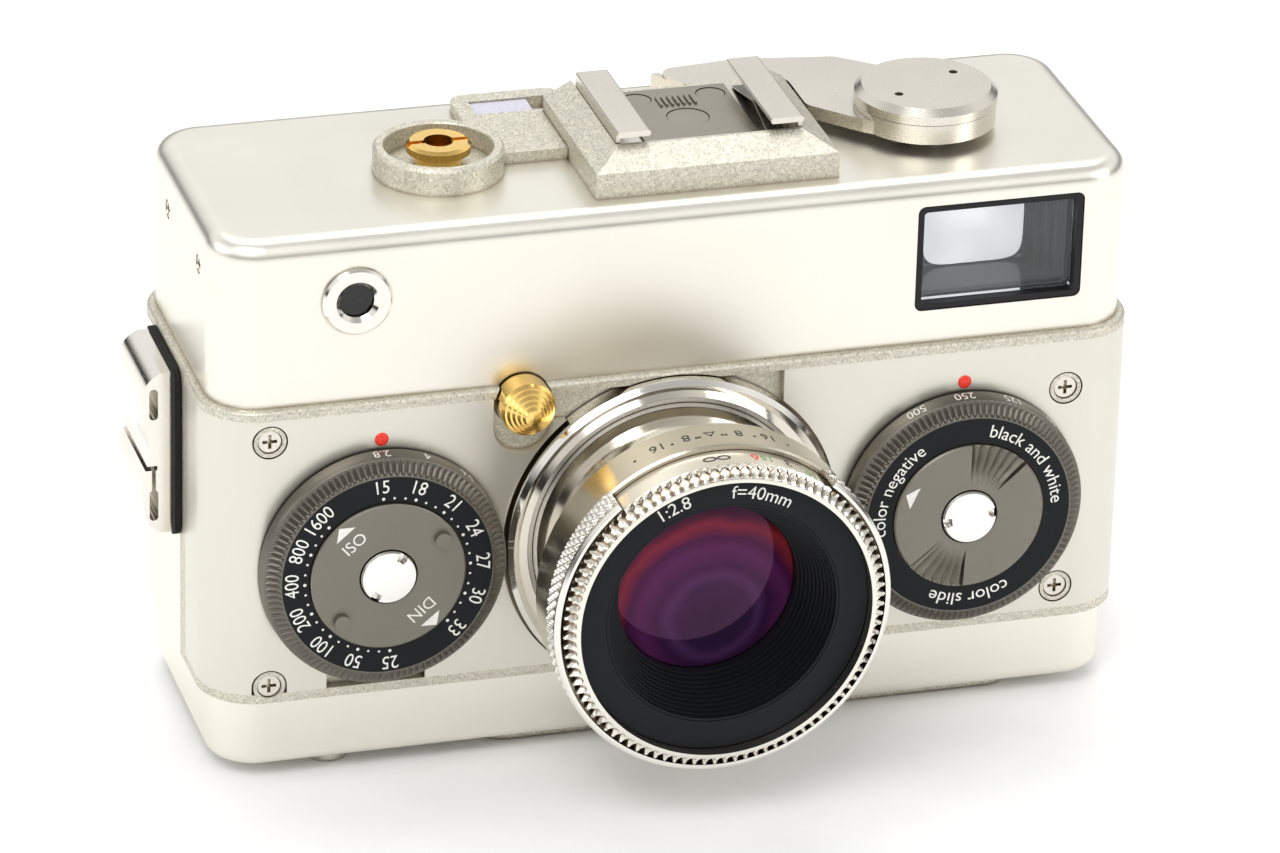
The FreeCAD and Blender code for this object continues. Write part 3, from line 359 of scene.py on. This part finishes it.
def paint(name, colour, roughness=0.5, **constants):
    """Thin printed or moulded colour with a faint unevenness."""
    material, tree, shader, place = new_material(name, **constants)
    fine = noise(tree, place, 0.25).outputs["Fac"]
    tree.links.new(ramp(tree, fine, [(0.3, shade(colour, 0.82)), (0.65, shade(colour, 1.06))]),
                   shader.inputs["Base Color"])
    tree.links.new(spread(tree, fine, roughness - 0.08, roughness + 0.08), shader.inputs["Roughness"])
    relief = add_node(tree, "ShaderNodeBump", {"Height": fine, "Strength": 0.3, "Distance": 0.006 * MM})
    tree.links.new(relief.outputs["Normal"], shader.inputs["Normal"])
    return material


def glass(name, centre_colour, rim_colour, axis, radius, **constants):
    """Glass whose tint changes from the middle to the rim, with a faint bloom on it."""
    material, tree, shader, place = new_material(name, Transmission_Weight=1.0, **constants)
    across = rings_round(tree, place, axis)
    distance = add_node(tree, "ShaderNodeSeparateXYZ", {0: across}).outputs["X"]
    share = add_node(tree, "ShaderNodeMath", {0: distance, 1: 1 / (radius * MM)}, operation="MULTIPLY")
    tint = ramp(tree, share.outputs[0], [(0.25, centre_colour + (1.0,)), (0.95, rim_colour + (1.0,))])
    tree.links.new(tint, shader.inputs["Base Color"])
    bloom = noise(tree, place, 5.0).outputs["Fac"]
    tree.links.new(spread(tree, bloom, 0.0, 0.02), shader.inputs["Roughness"])
    return material


NICKEL = (0.84, 0.815, 0.735)
CHAMPAGNE = (0.80, 0.765, 0.69)
CHROME = (0.80, 0.775, 0.72)

satin_cover = metal("satin_cover", NICKEL, 0.33, grain=0.10, bump=0.0035, mottle=0.02, rough_range=0.04)
front_sheet = metal("front_sheet", (0.70, 0.68, 0.605), 0.36, grain=0.10, bump=0.0035, mottle=0.02,
                    rough_range=0.04)
cast = cast_metal("cast", (0.66, 0.63, 0.535))
chrome = metal("chrome", CHROME, 0.09, grain=0.3, bump=0.0008, mottle=0.03, rough_range=0.04,
               round_axis=LENS)
chrome_plain = metal("chrome_plain", CHROME, 0.12, grain=0.4, bump=0.001, mottle=0.03, rough_range=0.04)
turned_satin = metal("turned_satin", CHAMPAGNE, 0.22, grain=0.12, bump=0.002, mottle=0.04, round_axis=LENS)
# darker champagne for the depth ring: partly its own tone, partly painted shade for the dark surroundings it
# reflects
scale_band = metal("scale_band", (0.60, 0.55, 0.45), 0.20, grain=0.12, bump=0.002, mottle=0.04,
                   round_axis=LENS)
knurled = metal("knurled", CHROME, 0.18, grain=0.2, bump=0.002, mottle=0.05)
satin_nickel = metal("satin_nickel", (0.72, 0.685, 0.61), 0.27, grain=0.14, bump=0.003, mottle=0.04)
gold = metal("gold", (0.93, 0.64, 0.20), 0.16, grain=0.3, bump=0.0012, mottle=0.06, rough_range=0.05,
             warm=(0.86, 0.55, 0.17))
dial_metal = metal("dial_metal", (0.165, 0.152, 0.128), 0.36, grain=0.12, bump=0.003, mottle=0.08,
                   metallic=0.75)
disc_metal = metal("disc_metal", (0.20, 0.188, 0.155), 0.42, grain=0.10, bump=0.003, mottle=0.05,
                   metallic=0.6)
cap_metal = metal("cap_metal", (0.86, 0.85, 0.82), 0.24, grain=0.12, bump=0.001, mottle=0.02)
black_metal = metal("black_metal", (0.0075, 0.0085, 0.0105), 0.40, grain=0.10, bump=0.003, mottle=0.1,
                    metallic=0.0, rough_range=0.05, Specular_IOR_Level=0.16)
black_plastic = paint("black_plastic", (0.010, 0.010, 0.011), 0.38, Specular_IOR_Level=0.25)
brass = metal("brass", (0.75, 0.56, 0.28), 0.3, grain=0.2, bump=0.002, mottle=0.06, round_axis=LENS)
steel = metal("steel", (0.62, 0.60, 0.56), 0.3, grain=0.15, bump=0.003, mottle=0.05)
rubber = paint("rubber", (0.012, 0.012, 0.012), 0.7, Specular_IOR_Level=0.2)
board_green = paint("board_green", (0.02, 0.12, 0.05), 0.45)
shell = paint("shell", (0.10, 0.12, 0.16), 0.35)
tunnel = paint("tunnel", (0.055, 0.057, 0.062), 0.16)
white_paint = paint("white_paint", (0.82, 0.81, 0.76), 0.5)
black_paint = paint("black_paint", (0.025, 0.023, 0.02), 0.5)
pale_window = paint("pale_window", (0.55, 0.54, 0.62), 0.14)
red_paint = paint("red_paint", (0.80, 0.035, 0.015), 0.3)
green_paint = paint("green_paint", (0.07, 0.34, 0.04), 0.4)
lug_metal = metal("lug_metal", (0.78, 0.75, 0.69), 0.14, grain=0.3, bump=0.002, mottle=0.05)
plate_metal = metal("plate_metal", (0.36, 0.335, 0.285), 0.34, grain=0.09, bump=0.004, mottle=0.06)
window_dark = glass("window_dark", (0.02, 0.02, 0.025), (0.05, 0.05, 0.06), axis_of("meter_cell"), 1.7,
                    IOR=1.5)
outer_glass = glass("outer_glass", (0.80, 0.55, 0.86), (0.62, 0.30, 0.66), LENS, 9.2,
                    IOR=1.62, Specular_Tint=(0.72, 0.45, 1.0, 1.0), Thin_Film_Thickness=260.0,
                    Thin_Film_IOR=1.38)
clear_glass = glass("clear_glass", (0.96, 0.97, 0.98), (0.90, 0.93, 0.96),
                    axis_of("finder_glasses"), 9.0, IOR=1.45)


def dark_coating():
    """Coated front element: deep purple coating with painted reflections, soft rings standing for the inner
    elements and a red highlight from the lamps in its upper half.
    """
    material, tree, shader, place = new_material(
        "dark_coating", IOR=1.5, Roughness=0.05, Specular_Tint=(0.8, 0.30, 0.62, 1.0))
    # centre set low, so that the painted reflections sit off the middle and the red highlight falls in the
    # upper half
    centre, reach = (LENS[0] + 0.8, LENS[1] - 3.4), 12.4
    distance = add_node(tree, "ShaderNodeSeparateXYZ", {0: rings_round(tree, place, centre)}).outputs["X"]
    scaled = add_node(tree, "ShaderNodeMath", {0: distance, 1: 1 / (reach * MM)}, operation="MULTIPLY")
    rings = scaled.outputs[0]
    streaks = noise(tree, place, 5.0, 1.0).outputs["Fac"]
    waver = add_node(tree, "ShaderNodeMath", {0: streaks, 1: 0.12}, operation="MULTIPLY").outputs[0]
    total = add_node(tree, "ShaderNodeMath", {0: rings, 1: waver}, operation="ADD").outputs[0]
    # painted reflections: purple rings for the inner elements, the red band near the rim for the lamps'
    # highlight
    stops = [(0.10, (0.010, 0.006, 0.020, 1.0)), (0.36, (0.022, 0.008, 0.034, 1.0)),
             (0.44, (0.048, 0.018, 0.066, 1.0)), (0.52, (0.026, 0.007, 0.034, 1.0)),
             (0.66, (0.075, 0.014, 0.070, 1.0)), (0.76, (0.045, 0.006, 0.036, 1.0)),
             (0.87, (0.240, 0.020, 0.022, 1.0)), (0.94, (0.060, 0.006, 0.012, 1.0)),
             (1.05, (0.004, 0.002, 0.004, 1.0))]
    tree.links.new(ramp(tree, total, stops), shader.inputs["Base Color"])
    return material


def bright_pane():
    """Pale pane that glows: painted light standing for the bright view through the far end of the finder."""
    # emission paints light into the pane, though it is no lamp
    material, tree, shader, place = new_material("bright_pane", Roughness=0.12, Emission_Strength=0.62)
    broad = noise(tree, place, 6.0, 1.0).outputs["Fac"]
    glow = ramp(tree, broad, [(0.3, (0.70, 0.72, 0.73, 1.0)), (0.7, (1.0, 1.0, 0.98, 1.0))])
    tree.links.new(glow, shader.inputs["Base Color"])
    tree.links.new(glow, shader.inputs["Emission Color"])
    return material


coat_and_painted_reflections = dark_coating()
glowing_finder_lens = bright_pane()

BY_SLOT = {
    "cast_frame": cast, "satin_cover": satin_cover, "front_panel": front_sheet,
    "polished_nickel": chrome, "satin_nickel": satin_nickel, "gold": gold, "dark_dial": dial_metal,
    "disc_grey": disc_metal, "black_anodised": black_metal, "black_plastic": black_plastic,
    "silver_cap": cap_metal, "coated_glass": outer_glass, "clear_glass": clear_glass,
    "dark_glass": window_dark, "brass": brass, "steel": steel, "rubber": rubber,
    "board": board_green, "battery_shell": shell, "tunnel_grey": tunnel,
}
BY_NODE = {
    "shoe_insulator": plate_metal, "shoe_contacts": plate_metal, "depth_ring": scale_band,
    "lens_tube": chrome, "meter_ring": chrome_plain, "strap_lug": lug_metal,
    "indicator_window": pale_window,
}


def dress_nodes():
    """Gives every CAD node the material of its slot, or its own where BY_NODE names one."""
    slots = {part["node"]: part["material_slot"] for part in frame["record"]["subparts"]}
    for name, node in frame["nodes"].items():
        material = BY_NODE.get(name, BY_SLOT[slots[name]])
        if not node.material_slots:
            node.data.materials.append(None)
        for holder in node.material_slots:
            holder.link = "OBJECT"
            holder.material = material


dress_nodes()


# ---------------------------------------------------------------- lens

TEETH = 96              # round the front edge of the focusing ring
NOTCH = 0.62            # depth of a notch between two teeth
DIAMONDS = 104          # round the grip, were it whole


def focusing_ring():
    """Distance ring whose front edge is cut into prisms by leaf-shaped notches."""
    rear, front = depth_of(high("focus_ring").y), depth_of(low("focus_ring").y)
    body = radius_of("focus_ring") - 0.05
    corner, rim, bore, lip = front + 0.85, 15.45, 15.1, 15.0
    band = [(body - 0.32, corner + 0.75), (body - 0.05, corner + 0.55)]
    band += [(body, depth) for depth in steps(corner + 0.4, corner, 3)]
    chamfer = [(body + (rim - body) * share, corner + (front + 0.05 - corner) * share)
               for share in steps(0.08, 1, 11)]
    profile = [(bore, rear), (body - 0.2, rear), (body - 0.2, corner + 0.85)]
    first = len(profile)
    profile += band + chamfer + [(15.25, front), (lip, front), (lip, front + 1.4), (bore, front + 1.4)]
    cut_rows = len(band) + len(chamfer)

    def cut(angle, radius, depth, row):
        along = (row - first) / (cut_rows - 1)
        if not 0 < along < 1:
            return radius, depth
        off_centre = 1 - zigzag(angle * TEETH / (2 * math.pi))
        hollow = NOTCH * max(0.0, math.sin(math.pi * along) ** 0.4 - off_centre)
        forward = 0.15 if row < first + len(band) else 0.7
        return radius - hollow * (1 - forward / 2), depth + hollow * forward

    mesh = turned("focus_ring_cut", LENS, profile, TEETH * 10, cut)
    finish_piece("focus_ring_cut", mesh, turned_satin, "focus_ring", ("focus_ring",), 18)


def barrel_grip():
    """Grip with diamond knurling between two smooth rims."""
    front, rear = depth_of(low("barrel_grip").y), depth_of(high("barrel_grip").y)
    outer = radius_of("barrel_grip")
    inner, groove = 16.75, outer - 0.35
    depth_of_cut = 0.42
    first, last = front + 0.75, rear - 0.2
    pitch, stretch = 2 * math.pi * outer / DIAMONDS, 1.15
    knurl = [(outer, depth) for depth in steps(first, last, 24)]
    profile = [(inner, front), (outer - 0.4, front), (outer - 0.12, front + 0.25),
               (outer - 0.12, front + 0.6), (groove, first - 0.02)]
    start_row = len(profile)
    profile += knurl + [(groove, last + 0.02), (groove, rear), (inner, rear)]
    end_row = start_row + len(knurl)

    def cut(angle, radius, depth, row):
        if not start_row <= row < end_row:
            return radius, depth
        u = angle * DIAMONDS / (2 * math.pi)
        v = depth / (pitch * stretch)
        tip = min(zigzag(u + v), zigzag(u - v))
        return radius - depth_of_cut * (1 - tip), depth

    start, sweep = 130, 280
    columns = round(DIAMONDS * sweep / 360) * 8
    mesh = turned("grip_knurl", LENS, profile, columns, cut, start=start, sweep=sweep)
    finish_piece("grip_knurl", mesh, knurled, "lens_barrel", ("barrel_grip",), 25)


def front_element():
    """Coated front glass: two domed faces and a ground rim."""
    radius, thickness, front_bulge, back_bulge = 9.25, 3.0, 1.1, 0.9
    rim = depth_of(low("front_glass").y) + front_bulge
    shares = steps(0.002, 1, 14)
    front = [(radius * share, rim - front_bulge * (1 - share ** 2)) for share in shares]
    back = [(radius * share, rim + thickness - back_bulge * (1 - share ** 2)) for share in reversed(shares)]
    mesh = turned("front_element", LENS, front + back, 96)
    # its material paints the reflections seen in the glass
    finish_piece("front_element", mesh, coat_and_painted_reflections, "focus_ring", ("front_glass",), 40)


def depth_scale():
    """Apertures to both sides of the distance pointer, with dots between them."""
    ring = radius_of("depth_ring")
    line, dot_line = -12.95, -13.3
    marks = Marks()
    for text, places in (("8", (98.9, 80.5)), ("16", (109.5, 70.1))):
        for degrees in places:
            marks.add(letters(text, 1.25), around(LENS, ring, degrees, line))
    for degrees in (117.8, 104.1, 95.6, 94.6, 86.6, 85.3, 75.2, 62.5):
        marks.add(dot(0.17), around(LENS, ring, degrees, dot_line))
    pointer = ([(0, 0.5), (0.62, -0.5), (-0.62, -0.5), (0, 0.24), (0.4, -0.38), (-0.4, -0.38)],
               [(0, 1, 4, 3), (1, 2, 5, 4), (2, 0, 3, 5)])
    marks.add(pointer, around(LENS, ring, 90.6, line))
    marks.piece("depth_scale", black_paint, "lens_barrel")


def infinity_loop(side):
    """One half of the infinity sign, as a flat oval band."""
    sides = 24
    half_width = 0.72
    turn = [2 * math.pi * k / sides for k in range(sides)]
    outline = []
    for across, upward in ((half_width, 0.48), (0.50, 0.27)):
        outline += [(half_width * side + across * math.cos(a), upward * math.sin(a)) for a in turn]
    faces = [(k, (k + 1) % sides, sides + (k + 1) % sides, sides + k) for k in range(sides)]
    return outline, faces


def distance_scale():
    """Metres in black and red, feet in green, and the infinity sign."""
    ring = radius_of("focus_ring") - 0.25
    line = -17.1
    black = Marks()
    for side in (-1, 1):
        black.add(infinity_loop(side), around(LENS, ring, 92.4, line))
    for text, degrees in (("3", 65.7), ("2", 43), ("1.5", 30), ("1.2", 18), ("1", 8), ("0.9", -3)):
        black.add(letters(text, 1.3), around(LENS, ring, degrees, line + 0.2))
    black.piece("distance_scale", black_paint, "focus_ring")
    red = Marks()
    red.add(letters("6", 1.35), around(LENS, ring, 78.5, line))
    red.piece("distance_red", red_paint, "focus_ring")
    green = Marks()
    for text, degrees, offset in (("15", 74.3, 0.1), ("10", 56.7, -0.3), ("5", 37, -0.3)):
        green.add(letters(text, 1.1), around(LENS, ring, degrees, line + offset))
    green.piece("distance_green", green_paint, "focus_ring")


def focal_length():
    """Aperture and focal length on the black ring round the front glass."""
    front = depth_of(low("name_ring").y)
    marks = Marks()
    for text, degrees in (("1:2.8", 113.6), ("f=40mm", 74)):
        marks.add(letters(text, 1.35), facing(LENS, 13.3, degrees, front))
    marks.piece("focal_length", white_paint, "focus_ring")


# ---------------------------------------------------------------- dials

FLUTES = 112            # round the bevel of a dial
FLUTE_FANS = (65.6, -116.8)


def dial_shell(name, axis, node, body):
    """Dial with a smooth skirt for its numbers and a fluted bevel."""
    skirt, shoulder, well, hole = radius_of(node), 12.32, 8.1, 3.4
    rear, bevel_start, face, well_floor = -0.3, -2.2, DIAL_FACE, -1.65
    bevel_width, bevel_depth = 1.37, face - bevel_start
    bevel = [(shoulder - bevel_width * share, bevel_start + bevel_depth * share)
             for share in steps(0, 1, 7)]
    profile = [(hole, rear), (skirt, rear), (skirt - 0.02, -0.45), (skirt - 0.12, -1.95),
               (skirt - 0.22, -2.06), (shoulder - 0.02, -2.08)]
    first = len(profile)
    profile += bevel + [(10.85, face), (well, face), (well, well_floor), (hole, well_floor)]
    last = first + len(bevel)

    def cut(angle, radius, depth, row):
        if not first <= row < last:
            return radius, depth
        fade = 1.0 if row < last - 2 else (last - 1 - row) / 2
        hollow = 0.34 * fade * scallop(angle * FLUTES / (2 * math.pi))
        return radius - hollow, depth + 0.45 * hollow

    mesh = turned(name, axis, profile, FLUTES * 6, cut)
    finish_piece(name, mesh, dial_metal, body, (node,), 50)
    inner, outer = well + 0.02, 10.8
    flat = [(inner, face), (inner, NUMBER_FACE), (outer, NUMBER_FACE), (outer + 0.02, face)]
    ring = turned(name + "_face", axis, flat, 128)
    finish_piece(name + "_face", ring, black_metal, body)


def index_dots():
    """Red enamel dots above the dials."""
    radius, height, sunk = 0.72, 0.26, 0.15
    dome = [(radius * math.cos(a), -height * math.sin(a)) for a in steps(0, math.pi / 2 - 0.02, 8)]
    for name, axis in (("aperture_index", APERTURE), ("speed_index", SPEED)):
        centre = (axis[0], axis[1] + INDEX_HEIGHT)
        mesh = turned(name, centre, [(radius, sunk)] + dome, 32)
        finish_piece(name, mesh, red_paint, "camera_body")


def skirt_numbers(name, axis, values, first, step, body):
    """Numbers round the skirt of a dial, from an angle on, clockwise."""
    radius, line = 12.55, -1.15
    marks = Marks()
    for index, text in enumerate(values):
        place = around(axis, radius, first - step * index, line, narrow=0.85, slope=0.06)
        marks.add(letters(text, 1.2), place)
    marks.piece(name, white_paint, body)


def film_speed_scale():
    """Two film speed scales on the aperture dial, and the apertures round its skirt."""
    number_radius, dot_radius = 9.85, 8.5
    din_start, iso_start, step = 93.5, -88, 22.75
    din = [str(value) for value in range(15, 34, 3)]
    iso = [str(25 * 2 ** power) for power in range(7)]
    marks = Marks()
    for values, first in ((din, din_start), (iso, iso_start)):
        for index, text in enumerate(values):
            place = facing(APERTURE, number_radius, first - step * index, NUMBER_FACE, narrow=0.88)
            marks.add(letters(text, 1.42), place)
    for first in (din_start, iso_start):
        for index in range(19):
            size = 0.17 if index % 3 == 0 else 0.125
            marks.add(dot(size), facing(APERTURE, dot_radius, first - step * index / 3, NUMBER_FACE))
    marks.piece("film_speed_scale", white_paint, "aperture_dial")
    apertures = ("2.8", "4", "5.6", "8", "11", "16", "22")
    skirt_numbers("aperture_scale", APERTURE, apertures, 91.2, 22, "aperture_dial")


def pointers_and_words():
    """What the two inner discs carry: the names of the film speed scales, and pointers."""
    top = depth_of(low("film_speed_disc").y) + 0.55
    arrow = ([(0, 0.75), (-1.25, -0.35), (1.25, -0.35)], [(0, 1, 2)])
    word_radius, arrow_radius = 5.35, 7.05
    marks = Marks()
    for text, degrees, turn in (("ISO", 131, 41), ("DIN", -50, 220)):
        marks.add(letters(text, 1.25), flat_at(APERTURE, word_radius, degrees, top, turn))
    for degrees, turn in ((131, 41), (-50, 220)):
        marks.add(arrow, flat_at(APERTURE, arrow_radius, degrees, top, turn))
    marks.piece("film_speed_words", white_paint, "film_speed_disc")
    pointer = Marks()
    pointer.add(arrow, flat_at(SPEED, 6.8, 155.4, top, 65.4))
    pointer.piece("film_type_pointer", white_paint, "film_type_disc")


def speed_marks():
    """Film types on the speed dial, and the shutter speeds round its skirt."""
    radius = 9.5
    marks = Marks()
    for text, first, last in (("black and white", 77.8, 2.6), ("color slide", -61, -114),
                              ("color negative", 189, 122.6)):
        arc = math.radians(first - last) * radius
        flat, faces = letters(text, 1.35)
        width = 2 * max(x for x, _ in flat)
        place = facing(SPEED, radius, (first + last) / 2, NUMBER_FACE, narrow=arc / width)
        marks.add((flat, faces), place)
    marks.piece("film_type_words", white_paint, "speed_dial")
    speeds = ("500", "250", "125", "60", "30", "15", "8", "4", "2", "B")
    skirt_numbers("speed_scale", SPEED, speeds, 115.5, 24, "speed_dial")


def film_type_disc():
    """Inner disc of the speed dial with two fans of finger flutes."""
    node = "film_type_disc"
    front = depth_of(low(node).y)
    hole, rear = 3.0, -1.7
    profile = [(hole, rear), (7.9, rear), (7.95, front + 0.15)]
    first = len(profile)
    profile += [(radius, front) for radius in steps(7.8, hole, 16)]
    reach, pitch = 24, 8

    def cut(angle, radius, depth, row):
        if row < first:
            return radius, depth
        hollow = 0.0
        for centre in FLUTE_FANS:
            away = (math.degrees(angle) - centre + 180) % 360 - 180
            if abs(away) < reach:
                flute = 1 - zigzag(away / pitch + 0.5)
                hollow = 0.42 * flute * min(1.0, max(0.0, (radius - 3.6) / 2.4))
        return radius, depth + hollow

    mesh = turned(node + "_fluted", SPEED, profile, 720, cut)
    finish_piece(node + "_fluted", mesh, disc_metal, "film_type_disc", (node,), 20)


def dial_cap(name, axis, degrees, body):
    """Bright cap with two square spanner notches."""
    front = depth_of(low(name).y)
    outer, dish = 2.85, 0.02
    notch_half, notch_start, notch_depth = 0.42, 2.0, 0.55
    profile = [(outer, front + 2.2), (outer, front + 0.4)]
    profile += [(radius, front + dish * radius * radius) for radius in steps(2.72, 0.02, 14)]

    def cut(angle, radius, depth, row):
        off = angle - math.radians(degrees)
        across, along = abs(math.sin(off)) * radius, abs(math.cos(off)) * radius
        if row and across < notch_half and along > notch_start:
            return radius, depth + notch_depth
        return radius, depth

    mesh = turned(name + "_notched", axis, profile, 180, cut, closed=False)
    finish_piece(name + "_notched", mesh, cap_metal, body, (name,), 25)


def lock_button():
    """Gold push button turned in narrow steps down to a point."""
    node = "lock_button"
    front, rear = depth_of(low(node).y), depth_of(high(node).y)
    outer, stem, centre = radius_of(node), 2.0, 0.05
    collar = front + 4.6
    count, height = 5, 2.05
    width = (outer - 0.7) / count
    profile = [(centre, rear), (stem, rear), (stem, collar), (outer, collar), (outer, front + 2.2)]
    for index in range(count):
        radius = outer - 0.08 - width * (index + 1)
        depth = front + height - height * (index + 1) / count
        wide = radius + width
        profile += [(wide - 0.06, depth + 0.30), (wide - 0.18, depth + 0.10), (radius + 0.05, depth + 0.06)]
    profile += [(0.3, front + 0.02), (centre, front)]
    mesh = turned("lock_button_turned", axis_of(node), profile, 96)
    finish_piece("lock_button_turned", mesh, gold, "lock_button", (node,), 20)


# ---------------------------------------------------------------- finder

def finder_lens():
    """Glowing inner lens of the finder, painted light for the view through it: a rounded, slightly domed pane
    just behind its clear front.
    """
    middle = (low("finder_glasses") + high("finder_glasses")) / 2
    half_width, half_height, squareness, bulge = 5.35, 4.85, 0.35, 0.5
    points, faces = [], []
    sides, rings = 64, 8
    for ring in range(rings + 1):
        size = 1 - ring / (rings + 0.5)
        for side in range(sides):
            angle = 2 * math.pi * side / sides
            c, s = math.cos(angle), math.sin(angle)
            x = math.copysign(abs(c) ** squareness, c) * half_width * size
            z = math.copysign(abs(s) ** squareness, s) * half_height * size
            points.append((middle.x + x, y_at(FINDER_LENS - bulge * (1 - size ** 2)), middle.z + z))
    for ring in range(rings):
        for side in range(sides):
            here, there = ring * sides + side, ring * sides + (side + 1) % sides
            faces.append((here, there, there + sides, here + sides))
    faces.append(tuple(rings * sides + side for side in range(sides)))
    faces.append(tuple(reversed(range(sides))))
    mesh = mesh_from("finder_lens", points, faces)
    finish_piece("finder_lens", mesh, glowing_finder_lens, "camera_body")


# ---------------------------------------------------------------- accessory shoe

def shoe_ribs():
    """Short cast ribs between the flash contacts."""
    contacts_low, contacts_high = low("shoe_contacts"), high("shoe_contacts")
    middle_x = (contacts_low.x + contacts_high.x) / 2 - 0.1
    end = contacts_high.y - 1.6
    start = end - 2.1
    floor_z = high("shoe_insulator").z
    count, pitch = 7, 0.6
    points, faces = [], []
    for index in range(count):
        x = middle_x + pitch * (index - (count - 1) / 2)
        ridge = [(x - 0.17, 0.0), (x - 0.1, 0.22), (x + 0.1, 0.22), (x + 0.17, 0.0)]
        first = len(points)
        points += [(px, y, floor_z + pz) for y in (start, end) for px, pz in ridge]
        faces += [(first + k, first + k + 1, first + k + 5, first + k + 4) for k in range(3)]
        faces += [(first, first + 3, first + 2, first + 1), (first + 4, first + 5, first + 6, first + 7)]
    finish_piece("shoe_ribs", mesh_from("shoe_ribs", points, faces), plate_metal, "camera_body")


# ---------------------------------------------------------------- studio

def floor():
    """Wide sheet of pale paper just under the camera."""
    material, tree, shader, place = new_material("floor_paper", Roughness=0.9)
    grain = noise(tree, place, 8.0, 4.0).outputs["Fac"]
    tree.links.new(ramp(tree, grain, [(0.3, (0.90, 0.90, 0.895, 1.0)), (0.7, (0.93, 0.93, 0.925, 1.0))]),
                   shader.inputs["Base Color"])
    reach, height = 2500, -0.05
    corners = [(-reach, -reach), (reach, -reach), (reach, reach), (-reach, reach)]
    sheet = mesh_from("floor", [(x, y, height) for x, y in corners], [(0, 1, 2, 3)])
    sheet.materials.append(material)
    paper = bpy.data.objects.new("floor", sheet)
    bpy.context.scene.collection.objects.link(paper)


def soft_box(name, position, target, width, height, power):
    """Rectangular lamp turned to face a target; the power is in watts."""
    lamp = bpy.data.lights.new(name, "AREA")
    lamp.shape = "RECTANGLE"
    lamp.size, lamp.size_y = width * MM, height * MM
    lamp.energy = power
    holder = bpy.data.objects.new(name, lamp)
    bpy.context.scene.collection.objects.link(holder)
    place = Vector(position) * MM
    holder.location = place
    holder.rotation_euler = (Vector(target) * MM - place).to_track_quat("-Z", "Y").to_euler()


def lights():
    """Four soft boxes under a pale dome with a dark band low round it, which gives metal its edges.

    It lights the camera and shows in reflections; where it would be seen directly it is plain pale.
    """
    aim = (0, 0, 30)
    soft_box("key", (-260, -420, 620), aim, 420, 320, 2.3)
    soft_box("fill", (520, -420, 260), aim, 300, 420, 1.0)
    soft_box("side", (-620, 40, 240), aim, 420, 320, 0.5)
    soft_box("top", (60, 240, 640), aim, 520, 260, 1.8)
    world = bpy.data.worlds.new("studio")
    bpy.context.scene.world = world
    world.use_nodes = True
    tree = world.node_tree
    direction = add_node(tree, "ShaderNodeTexCoord").outputs["Generated"]
    height = add_node(tree, "ShaderNodeSeparateXYZ", {0: direction}).outputs["Z"]
    levels = ((0.0, 0.02), (0.12, 0.05), (0.32, 1.0), (0.62, 1.0), (0.8, 0.6), (1.0, 0.5))
    glow = ramp(tree, height, [(position, (level, level, level, 1.0)) for position, level in levels])
    seen_directly = add_node(tree, "ShaderNodeLightPath").outputs["Is Camera Ray"]
    backdrop = add_node(tree, "ShaderNodeMix", {0: seen_directly, 6: glow, 7: (0.95, 0.95, 0.945, 1.0)},
                        data_type="RGBA")
    back = tree.nodes["Background"]
    tree.links.new(backdrop.outputs[2], back.inputs["Color"])
    back.inputs["Strength"].default_value = 1.0


def camera():
    """Long lens that looks down at the front from a little to the left."""
    azimuth, elevation, roll = (math.radians(angle) for angle in (-16.711, 25.860, 1.5813))
    target = Vector((-4.287, -16.5, 35.976))
    distance = 755.31
    back = Vector((math.sin(azimuth) * math.cos(elevation), -math.cos(azimuth) * math.cos(elevation),
                   math.sin(elevation)))
    data = bpy.data.cameras.new("camera")
    data.sensor_width = 36.0
    data.lens = 212.343
    data.clip_start, data.clip_end = 0.05, 50.0
    view = bpy.data.objects.new("camera", data)
    view.rotation_mode = "QUATERNION"
    view.location = (target + distance * back) * MM
    view.rotation_quaternion = (-back).to_track_quat("-Z", "Y") @ Quaternion((0, 0, 1), roll)
    bpy.context.scene.collection.objects.link(view)
    bpy.context.scene.camera = view
    bpy.context.scene.view_settings.view_transform = "Standard"


camera()
floor()
lights()
focusing_ring()
barrel_grip()
front_element()
depth_scale()
distance_scale()
focal_length()
dial_shell("aperture_shell", APERTURE, "aperture_dial", "aperture_dial")
dial_shell("speed_shell", SPEED, "speed_dial", "speed_dial")
film_type_disc()
dial_cap("aperture_cap", APERTURE, 56, "aperture_dial")
dial_cap("speed_cap", SPEED, 8, "speed_dial")
lock_button()
finder_lens()
index_dots()
film_speed_scale()
pointers_and_words()
speed_marks()
shoe_ribs()
